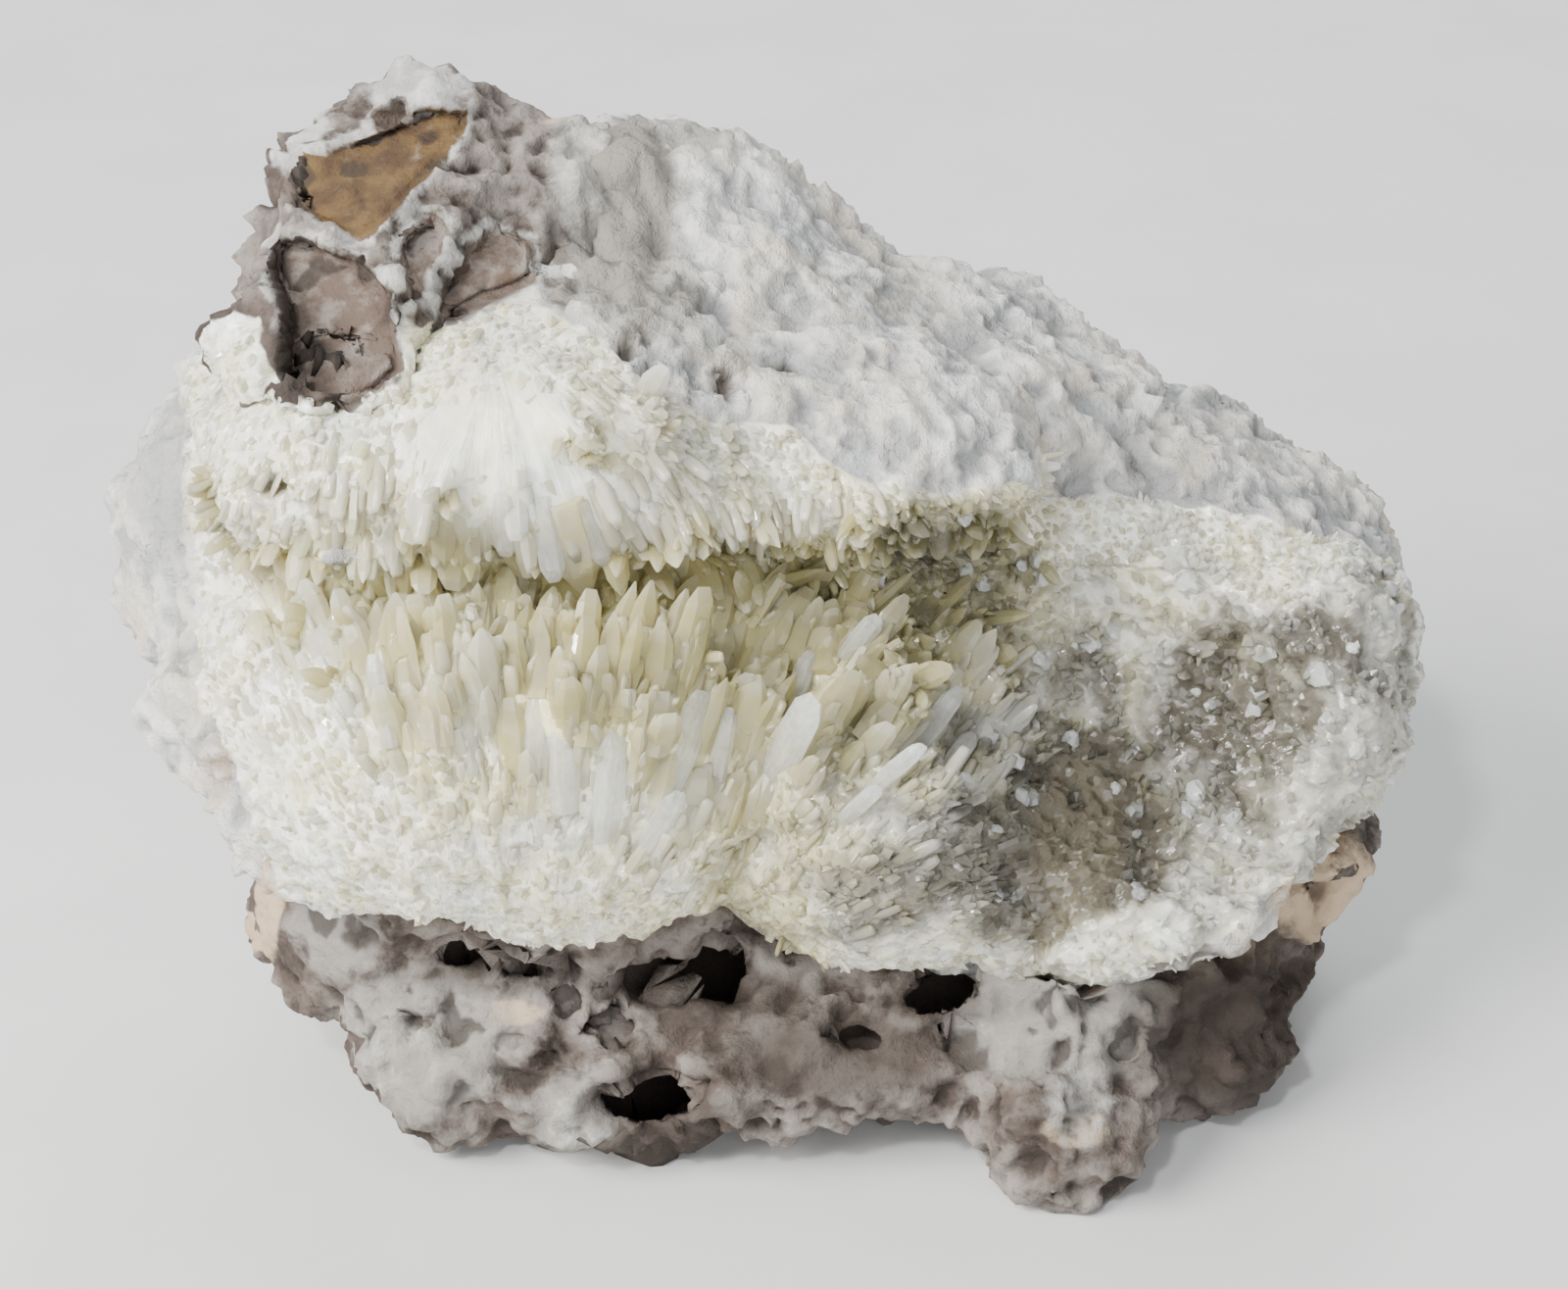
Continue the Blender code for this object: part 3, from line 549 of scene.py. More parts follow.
def cut_depth(across, up, seen):
    """How deep, in millimetres, the holes and crevices go at each point."""
    total = np.zeros(len(across))
    for cut in CUTS:
        turn = math.radians(cut.turn)
        right, upward = across - cut.across, up - cut.up
        along = (right * math.cos(turn) + upward * math.sin(turn)) / cut.wide
        beside = (upward * math.cos(turn) - right * math.sin(turn)) / cut.high
        total = np.maximum(total, cut.depth * (1 - smooth_step(0.55, 1.3, np.hypot(along, beside))))
    return total * seen


def rim_plane(outline, tree):
    """The plane through the rim of a hollow, as what it gains across and up and its nearness at the middle."""
    centre = np.mean(outline, axis=0)
    spots, nears = [], []
    for corner in np.array(outline):
        spot = corner + (corner - centre) / np.linalg.norm(corner - centre)
        aim = MIDDLE + (SIDE * spot[0] + RISE * spot[1]) * MM
        place = tree.ray_cast(Vector(EYE), Vector(aim - EYE).normalized())[0]
        if place is not None:
            spots.append((*spot, 1.0))
            nears.append(in_view(np.array([place]))[2][0])
    return np.linalg.lstsq(np.array(spots), np.array(nears), rcond=None)[0]


def solids_tree():
    return tree_of(*[node.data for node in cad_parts.values() if node.type == "MESH"])


def pane_floors(points, normals, behind, deepest):
    """Flattens what lies within the panes to floors at their depth, or this far behind them, where it isn't deeper
    than the last number. Also the distance to the nearest pane's edge and how ochre its floor is."""
    across, up, near = in_view(points)
    facing = normals @ BACK > -0.3
    solids = solids_tree()
    ochre = np.zeros(len(points))
    edge = np.full(len(points), -1e9)
    for hole in PANES:
        reach = inside(across, up, hole.outline)
        edge = np.maximum(edge, reach)
        ochre = np.maximum(ochre, smooth_step(-0.45, 0.15, reach) * hole.ochre)
        left = min(corner[0] for corner in hole.outline)
        right = max(corner[0] for corner in hole.outline)
        part = np.clip((across - left) / (right - left), 0, 1) ** 0.6
        rim = np.column_stack((across, up, np.ones(len(across)))) @ rim_plane(hole.outline, solids)
        lift = (rim - hole.left * (1 - part) - hole.right * part - behind - near) * 0.95
        moved = (lift > -PANE_REACH) & (lift < deepest) & facing
        points = points + (BACK * MM) * (lift * moved * smooth_step(-0.3, 0.2, reach))[:, None]
    return points, edge, ochre


def pane_plug(settings):
    """A slab just behind the floor of the first pane, where the host rock and the aragonite leave a gap."""
    hole = PANES[0]
    rim = rim_plane(hole.outline, solids_tree())
    left = min(corner[0] for corner in hole.outline)
    right = max(corner[0] for corner in hole.outline)
    centre = np.mean(hole.outline, axis=0)
    bm = bmesh.new()
    for behind in PLUG_DEPTHS:
        for corner in np.array(hole.outline):
            across, up = centre + (corner - centre) * PLUG_SHARE
            part = ((across - left) / (right - left)) ** 0.6
            near = np.array((across, up, 1.0)) @ rim - hole.left * (1 - part) - hole.right * part - behind
            shrunk = (EYE_DISTANCE / MM - near) / (EYE_DISTANCE / MM)
            bm.verts.new(MIDDLE + (SIDE * across * shrunk + RISE * up * shrunk + BACK * near) * MM)
    bmesh.ops.convex_hull(bm, input=bm.verts)
    bmesh.ops.recalc_face_normals(bm, faces=bm.faces)
    mesh = bpy.data.meshes.new("pane_plug")
    bm.to_mesh(mesh)
    bm.free()
    mesh.materials.append(plug_material(settings))
    return new_object("pane_plug", mesh)


def shallower(points, across, up, near):
    """Brings the depth of the cleft nearer to its rim."""
    rim = np.column_stack((across, up, np.ones(len(across)))) @ rim_plane(CLEFT, solids_tree())
    excess = rim - near - CLEFT_DEPTH
    moved = (excess > 0) & (excess < CLEFT_REACH)
    share = smooth_step(-0.5, 1.5, inside(across, up, CLEFT)) * (1 - CLEFT_SQUEEZE)
    return points + (BACK * MM) * (excess * moved * share)[:, None]


def growth_lines(across, up):
    """Places whose first number runs across the lines of growth and whose second runs along them."""
    above = up > BETWEEN_WALLS
    centre_across = np.where(above, FAN_CENTRE[0], BELLY_CENTRE[0])
    away = np.where(above, FAN_CENTRE[1] - up, up - BELLY_CENTRE[1])
    angle = np.arctan2(across - centre_across, away)
    far = np.hypot(across - centre_across, away)
    lines = angle * np.where(above, 14.0, 34.0)
    return np.column_stack((lines, far * LINE_STRETCH, np.where(above, 50.0, 0.0))) * MM


class Wire:
    """A shader value that can be reckoned with: an expression on wires adds its Math nodes."""

    def __init__(self, maker, socket):
        self.maker = maker
        self.socket = socket

    def reckon(self, operation, *values):
        return self.maker.node("ShaderNodeMath", {"operation": operation}, dict(enumerate(values)))

    def __add__(self, other):
        return self.reckon("ADD", self, other)

    def __sub__(self, other):
        return self.reckon("SUBTRACT", self, other)

    def __rsub__(self, other):
        return self.reckon("SUBTRACT", other, self)

    def __mul__(self, other):
        return self.reckon("MULTIPLY", self, other)

    def __truediv__(self, other):
        return self.reckon("DIVIDE", self, other)

    def __pow__(self, other):
        return self.reckon("POWER", self, other)

    __radd__ = __add__
    __rmul__ = __mul__

    def between(self, low, high):
        """0 up to low, 1 from high, and a soft step between."""
        settings = {"interpolation_type": "SMOOTHSTEP"}
        return self.maker.node("ShaderNodeMapRange", settings, {0: self, 1: low, 2: high})


class Finish:
    """A material and the nodes that it is made of."""

    def __init__(self, name):
        self.material = bpy.data.materials.new(name)
        self.material.use_nodes = True
        self.nodes = self.material.node_tree.nodes
        self.links = self.material.node_tree.links
        self.nodes.clear()
        self.place = self.node("ShaderNodeTexCoord", output="Object")

    def node(self, kind, settings=None, values=None, output=0):
        """Adds a node: its settings first, then a value or a link for each socket named or numbered."""
        made = self.nodes.new(kind)
        for name, setting in (settings or {}).items():
            setattr(made, name, setting)
        for name, value in (values or {}).items():
            if isinstance(value, Wire):
                self.links.new(value.socket, made.inputs[name])
            else:
                made.inputs[name].default_value = value
        return Wire(self, made.outputs[output])

    def attribute(self, name, output="Fac"):
        return self.node("ShaderNodeAttribute", {"attribute_name": name}, output=output)

    def noise(self, scale, detail=3.0, roughness=0.55, place=None):
        values = {"Vector": place or self.place, "Scale": scale, "Detail": detail, "Roughness": roughness}
        return self.node("ShaderNodeTexNoise", {"normalize": True}, values)

    def cells(self, scale, feature="F1"):
        return self.node("ShaderNodeTexVoronoi", {"feature": feature}, {"Vector": self.place, "Scale": scale})

    def drawn(self, turn, scale):
        """The place, turned and stretched, for a pattern with a grain."""
        return self.node("ShaderNodeMapping", {}, {"Vector": self.place, "Rotation": turn, "Scale": scale})

    def mix(self, first, second, factor):
        """A colour between two others."""
        values = {0: factor, 6: self.colour(first), 7: self.colour(second)}
        return self.node("ShaderNodeMix", {"data_type": "RGBA"}, values, output=2)

    def colour(self, value):
        return value if isinstance(value, Wire) else (*value, 1.0)

    def bump(self, height, strength, distance, below=None):
        values = {"Height": height, "Strength": strength, "Distance": distance}
        if below:
            values["Normal"] = below
        return self.node("ShaderNodeBump", {}, values)

    def shader(self, **values):
        named = {name.replace("_", " ").title().replace("Ior", "IOR"): value for name, value in values.items()}
        return self.node("ShaderNodeBsdfPrincipled", {}, named)

    def facets(self, scale, strength, below=None):
        """A normal that tips at random from one small cell to the next, as broken crystal glitters."""
        cell = self.node("ShaderNodeTexVoronoi", {}, {"Vector": self.place, "Scale": scale}, output="Color")
        centred = self.node("ShaderNodeVectorMath", {"operation": "SUBTRACT"}, {0: cell, 1: (0.5, 0.5, 0.5)})
        tip = self.node("ShaderNodeVectorMath", {"operation": "SCALE"}, {0: centred, "Scale": strength})
        upright = below or self.node("ShaderNodeNewGeometry", output="Normal")
        tipped = self.node("ShaderNodeVectorMath", {"operation": "ADD"}, {0: upright, 1: tip})
        return self.node("ShaderNodeVectorMath", {"operation": "NORMALIZE"}, {0: tipped})

    def milky(self, colour, rough, normal, through=0.5, clarity=0.3):
        """Cloudy crystal: part of the light passes through it."""
        body = self.shader(base_color=colour, roughness=rough, normal=normal, ior=1.53, transmission_weight=clarity)
        glow = self.node("ShaderNodeBsdfTranslucent", {}, {"Color": colour, "Normal": normal})
        return self.node("ShaderNodeMixShader", {}, {0: through, 1: body, 2: glow})

    def soaked(self, colour, rough, normal):
        """Massive crystal, which light soaks into."""
        return self.shader(base_color=colour, roughness=rough, normal=normal, ior=1.6, subsurface_weight=0.5,
                           subsurface_radius=(1.0, 0.8, 0.5), subsurface_scale=0.0005)

    def finish(self, surface, volume=None):
        values = {"Surface": surface}
        if volume:
            values["Volume"] = volume
        out = self.nodes.new("ShaderNodeOutputMaterial")
        for name, value in values.items():
            self.links.new(value.socket, out.inputs[name])
        return self.material


def pane_colour(f, settings, crumbs):
    """Brown floors with a patchy pale crust."""
    crust = (f.noise(240, 4) + crumbs * 0.6 + f.noise(900, 3) * 0.3).between(0.85, 1.15)
    return f.mix(settings.pane_brown, settings.pane_crust, crust)


def host_material(settings):
    """Brown porous limonite with pale veins, ochre floors and tan edges."""
    f = Finish("brown_host_rock")
    patchy = f.noise(160, 5, 0.6)
    grain = f.noise(1500, 4, 0.65)
    relief = f.attribute("relief")
    crumbs = f.noise(480, 5, 0.7)
    deep = f.mix(settings.host_dark, settings.host_brown, (patchy + crumbs * 0.6).between(0.6, 1.0))
    body = f.mix(deep, settings.host_grey, (f.noise(90, 4) + relief * 0.35 + crumbs * 0.4 - 0.2).between(0.55, 0.9))
    speckled = f.mix(body, settings.host_dark, f.noise(700, 3).between(0.55, 0.72) * 0.7)
    pane = f.mix(speckled, pane_colour(f, settings, crumbs), f.attribute("pane"))
    ochre = f.mix(settings.ochre_dark, settings.ochre, (f.noise(420, 4) + f.noise(130, 2) * 0.4).between(0.5, 0.85))
    tinted = f.mix(pane, ochre, (f.attribute("ochre") * 1.4 + f.noise(500, 3) - 0.5).between(0.3, 0.75))
    tan = f.mix(tinted, settings.tan_edge, (f.attribute("tan") * 1.2 + patchy + crumbs - 1.1).between(0.2, 0.8))
    veins = (f.attribute("pale") * 1.2 + crumbs * 1.4 + f.noise(800, 4) * 0.8 - 1.25).between(0.0, 0.75)
    pale = f.mix(settings.vein_grey, settings.vein_white, (f.noise(260, 4) + relief * 0.4).between(0.55, 0.85))
    old = f.mix(tan, settings.old_grey, (f.attribute("old") + crumbs - 0.6).between(0.0, 0.7))
    colour = f.mix(old, pale, veins)
    # Painted shade: near black where the relief is lowest, in the holes, pores and crags
    shaded = f.mix(colour, (0.03, 0.024, 0.02), (1 - relief).between(0.72, 1.0) * 0.75)
    # Painted shade: the host's darkest tone where the shade attribute says
    dim = f.mix(shaded, settings.host_dark, f.attribute("shade"))
    rough = f.noise(600, 3) * 0.2 + 0.72
    coarse = f.bump(crumbs, 0.8, 0.0006)
    fine = f.bump(grain, 0.6, 0.0002, coarse)
    rock = f.shader(base_color=dim, roughness=rough, normal=fine, specular_ior_level=0.25)
    crystal = (f.attribute("crystalline") + f.noise(500, 3) * 0.5 - 0.25).between(0.35, 0.65)
    return f.finish(f.node("ShaderNodeMixShader", {}, {0: crystal, 1: rock, 2: massive_crystal(f, settings)}))


def plug_material(settings):
    """The brown of the pane floors, for the slab behind one of them."""
    f = Finish("pane_floor")
    crumbs = f.noise(480, 5, 0.7)
    normal = f.bump(crumbs, 0.8, 0.0006)
    return f.finish(f.shader(base_color=pane_colour(f, settings, crumbs), roughness=f.noise(600, 3) * 0.2 + 0.72,
                             normal=normal, specular_ior_level=0.25))


def aragonite_material(settings):
    """Weathered rind over most of it, and the crystalline ground under the crystals."""
    f = Finish("weathered_aragonite")
    relief = f.attribute("relief")
    drawn = f.drawn((0.83, 0.0, 0.4), (1.0, 1.0, 0.35))
    streaks = f.noise(420, 6, 0.68, drawn)
    crumbs = f.noise(260, 6, 0.66)
    warm = f.mix(settings.rind_white, settings.rind_beige, f.noise(130, 5, 0.65).between(0.42, 0.62))
    grooves = (relief * 1.2 + streaks * 0.9 + crumbs * 0.7 - 1.0).between(0.05, 0.7)
    rind = f.mix(settings.rind_grey, warm, grooves)
    cool = f.mix(rind, settings.rind_cool, f.noise(210, 5, 0.65).between(0.5, 0.66) * 0.5)
    greyed = f.attribute("grey") + f.attribute("old") * 0.5 + f.noise(60, 4) * 0.6 - 0.3
    aged = f.mix(cool, settings.rind_grey, greyed.between(0.3, 0.9) * 0.8)
    old = f.mix(aged, settings.old_grey, (f.attribute("old") + crumbs - 0.6).between(0.0, 0.7))
    tan = f.mix(old, settings.tan_edge, (f.attribute("tan") + f.noise(300, 4) + crumbs - 1.05).between(0.2, 0.9))
    # Painted shade: the crevice tone where the shade attribute says
    dim = f.mix(tan, settings.rind_shadow, (f.attribute("shade") + crumbs - 0.5).between(0.15, 0.8))
    colour = f.mix(dim, pane_colour(f, settings, crumbs), f.attribute("pane"))
    coarse = f.bump(streaks, 0.8, 0.0008)
    middle = f.bump(crumbs, 0.9, 0.001, coarse)
    fine = f.bump(f.noise(2200, 4, 0.7), 0.5, 0.0002, middle)
    rock = f.shader(base_color=colour, roughness=0.8, normal=fine, specular_ior_level=0.35)
    crystal = (f.attribute("crystalline") + f.noise(500, 3) * 0.5 - 0.25).between(0.35, 0.65)
    return f.finish(f.node("ShaderNodeMixShader", {}, {0: crystal, 1: rock, 2: massive_crystal(f, settings)}))


def massive_crystal(f, settings):
    """The ground that the crystals grow from: cream and honey, striated along the growth, and glittering, with
    painted shade in its pits and between the crystals.
    """
    ground, honey = crystal_colour(f, settings, 0.04)
    sugary = f.attribute("sugary")
    striae = f.noise(1100, 4, 0.6, f.attribute("lines", "Vector"))
    bright = (1 - f.attribute("grey") * 1.2).between(0.0, 1.0)
    lined = f.mix(ground, (0.70, 0.72, 0.64), striae.between(0.48, 0.64) * 0.45 * bright)
    # Painted shade where the shade attribute says, and darker mottling by chance in the honey parts
    shadow = (f.noise(700, 4).between(0.55, 0.8) * honey * 0.25 + f.attribute("shade")).between(0.0, 1.0)
    mottled_and_shaded = f.mix(lined, settings.crystal_shadow, shadow)
    creamy = f.mix(mottled_and_shaded, settings.crystal_honey, f.noise(330, 4, 0.6).between(0.5, 0.62) * sugary * bright * 0.5)
    # Painted shade in the pits between the grains
    pits = f.noise(950, 4, 0.65).between(0.54, 0.68) * sugary * bright * 0.6
    pit_shaded = f.mix(creamy, (0.56, 0.53, 0.42), pits)
    blotches = f.noise(420, 3, 0.6).between(0.54, 0.62) * (1 - honey * 0.5) * sugary * bright * 0.6
    blotched = f.mix(pit_shaded, (0.97, 0.97, 0.95), blotches)
    rough = f.noise(900, 2).between(0.4, 0.6) * 0.3 + 0.07
    ribbed = f.bump(striae, 0.8, 0.0004)
    return f.soaked(blotched, rough, f.facets(1500, sugary * 0.65 + 0.12, ribbed))


def crystal_colour(f, settings, stray, greyness=1.0):
    """The body colour of crystal: honey, cream or grey by the chart, and a little uneven. Also how honey it is."""
    honey = (f.attribute("honey") + f.noise(210, 4).between(0.36, 0.64) * 0.5 - 0.25 + stray).between(0.0, 1.0)
    cream = f.mix(settings.crystal_white, settings.crystal_milk, f.noise(150, 4).between(0.44, 0.62) * 0.9)
    pure = f.mix(cream, settings.crystal_honey, honey)
    # The grey is partly the crystals' own tone and partly painted shade of the bowl and the bulge
    grey = (f.attribute("grey") * (f.noise(220, 4).between(0.38, 0.62) * 0.5 + 0.75) * greyness).between(-0.1, 1.1)
    return f.mix(pure, settings.crystal_grey, grey), honey


def crystal_material(settings, name, clarity, greyness, through, pits, tips):
    """Milky to clear crystal, clearer at its tip, where a painted highlight also makes it whiter. Some of it is as
    dark as the pits between grains.
    """
    f = Finish(name)
    tone = f.attribute("tone")
    tip = f.attribute("tip")
    cloudy, honey = crystal_colour(f, settings, tone * 0.4 - 0.2, greyness)
    bright = (1 - f.attribute("grey") * 1.2).between(0.0, 1.0)
    dusky = f.mix(cloudy, (0.64, 0.59, 0.42), (1 - tone).between(0.45, 0.85) * bright * pits)
    # Painted highlight: whiter toward the tips; the crystals made paler by chance are their own tone
    paler = (tip.between(0.6, 1.0) * tips + tone.between(0.7, 1.0) * 0.45) * (bright * 0.7 + 0.3)
    lit = f.mix(dusky, (0.97, 0.97, 0.94), paler)
    rough = f.noise(1100, 2) * 0.16 + 0.02
    striae = f.facets(800, 0.16)
    milky = f.milky(lit, rough, striae, through)
    glass_colour = f.mix((0.97, 0.98, 0.98), settings.crystal_honey, honey * 0.6)
    clear = f.shader(base_color=glass_colour, roughness=0.06, ior=1.6, transmission_weight=1.0, normal=striae)
    factor = (f.attribute("clear") * 0.8 + tip * 0.3 + tone * 0.4 - 0.5).between(0.0, 1.0) * clarity
    surface = f.node("ShaderNodeMixShader", {}, {0: factor, 1: milky, 2: clear})
    return f.finish(surface)


def cluster_material(settings):
    """Pale grains in the bowl."""
    f = Finish("pale_clusters")
    tone = f.attribute("tone")
    # The grey attribute here also carries the painted shade of the bowl
    dull = (tone * 0.5 + f.attribute("grey") * 0.3 + f.noise(110, 3) * 1.2 - 0.95).between(0.0, 1.0) * 0.8
    colour = f.mix((0.84, 0.86, 0.83), settings.crystal_grey, dull)
    return f.finish(f.milky(colour, f.noise(1100, 2) * 0.25 + 0.1, f.facets(1700, 0.6), 0.3, 0.15))


def clear_material(settings):
    """Clear crystal with a faint tint that deepens with thickness."""
    f = Finish("clear_aragonite")
    rough = f.noise(900, 2).between(0.45, 0.8) * 0.15 + 0.03
    grooves = f.noise(2600, 3, 0.6, f.attribute("lines", "Vector"))
    striae = f.bump(grooves, 0.5, 0.0002)
    glass = f.shader(base_color=(0.98, 0.99, 0.98, 1.0), roughness=rough, ior=1.6, transmission_weight=1.0,
                     normal=striae)
    tint = f.node("ShaderNodeVolumeAbsorption", {}, {"Color": (0.93, 0.9, 0.8, 1.0), "Density": 8.0})
    veil = f.milky((0.97, 0.98, 0.96, 1.0), 0.05, striae, 0.5, 0.3)
    veils = (f.noise(520, 3, 0.6).between(0.4, 0.66) + grooves.between(0.4, 0.7)) * 0.2 + 0.5
    return f.finish(f.node("ShaderNodeMixShader", {}, {0: veils, 1: glass, 2: veil}), tint)


def speck_material():
    f = Finish("dark_speck")
    tone = f.mix((0.02, 0.016, 0.012), (0.09, 0.06, 0.035), f.noise(1500, 2).between(0.4, 0.6))
    return f.finish(f.shader(base_color=tone, roughness=f.noise(2000, 2) * 0.3 + 0.5))


def crystal_shape(name, slim, rings, tip, home, smooth=False, sides=6):
    """A crystal of length and width 1 that points along Z: rings of corners, each given by its height and width,
    under a chisel tip."""
    bm = bmesh.new()
    for height, swell in rings:
        for corner in range(sides):
            angle = math.tau * corner / sides
            across = 0.5 * swell * math.cos(angle)
            beside = 0.5 * swell * slim * math.sin(angle)
            bm.verts.new((across, beside, height))
    for end in ((-tip, tip) if tip else (0.0,)):
        bm.verts.new((end, 0.0, 1.0))
    bmesh.ops.convex_hull(bm, input=bm.verts)
    bmesh.ops.recalc_face_normals(bm, faces=bm.faces)
    mesh = bpy.data.meshes.new(name)
    bm.to_mesh(mesh)
    bm.free()
    if smooth:
        mesh.shade_smooth()
    store(mesh, "tip", np.clip(points_of(mesh)[:, 2], 0, 1))
    thing = bpy.data.objects.new(name, mesh)
    home.objects.link(thing)
    return thing


def cluster_shape(name, seed, home):
    """A rounded, knobbly grain of width and height about 1."""
    bm = bmesh.new()
    bmesh.ops.create_icosphere(bm, subdivisions=2, radius=0.5)
    for vertex in bm.verts:
        uneven = noise.noise(vertex.co * 3.1 + Vector((seed * 7.0, 0.0, 0.0)))
        vertex.co *= 1 + 0.45 * uneven
    mesh = bpy.data.meshes.new(name)
    bm.to_mesh(mesh)
    bm.free()
    store(mesh, "tip", np.clip(points_of(mesh)[:, 2] + 0.5, 0, 1))
    thing = bpy.data.objects.new(name, mesh)
    home.objects.link(thing)
    return thing


def shapes_collection(kind):
    """The forms that one kind of crystal takes."""
    home = bpy.data.collections.new(kind)
    if kind == "spears":
        crystal_shape("spear_a", 0.5, ((-0.28, 0.8), (0.3, 1.0), (0.68, 0.8), (0.88, 0.42)), 0.05, home)
        crystal_shape("spear_b", 0.42, ((-0.28, 0.8), (0.5, 1.0), (0.8, 0.86)), 0.2, home)
        crystal_shape("spear_c", 0.55, ((-0.28, 0.75), (0.2, 0.95), (0.62, 0.75)), 0.03, home)
        crystal_shape("spear_d", 0.45, ((-0.28, 0.85), (0.45, 1.0), (0.8, 0.7)), 0.14, home)
    elif kind == "blades":
        crystal_shape("blade_a", 0.5, ((-0.28, 0.9), (0.5, 1.0), (0.88, 0.86)), 0.28, home, True)
        crystal_shape("blade_b", 0.6, ((-0.28, 0.85), (0.4, 1.0), (0.8, 0.8)), 0.16, home, True)
        crystal_shape("blade_c", 0.5, ((-0.28, 0.9), (0.6, 1.0), (0.9, 0.7)), 0.22, home)
    elif kind == "lumps":
        for number in range(6):
            cluster_shape("lump_%d" % number, number, home)
    else:
        crystal_shape("grain_a", 0.8, ((-0.28, 0.8), (0.5, 1.0)), 0.15, home, sides=4)
        crystal_shape("grain_b", 0.9, ((-0.28, 0.8), (0.4, 1.0)), 0.0, home, sides=5)
        crystal_shape("grain_c", 0.6, ((-0.28, 0.8), (0.6, 1.0)), 0.2, home, sides=4)
    return home


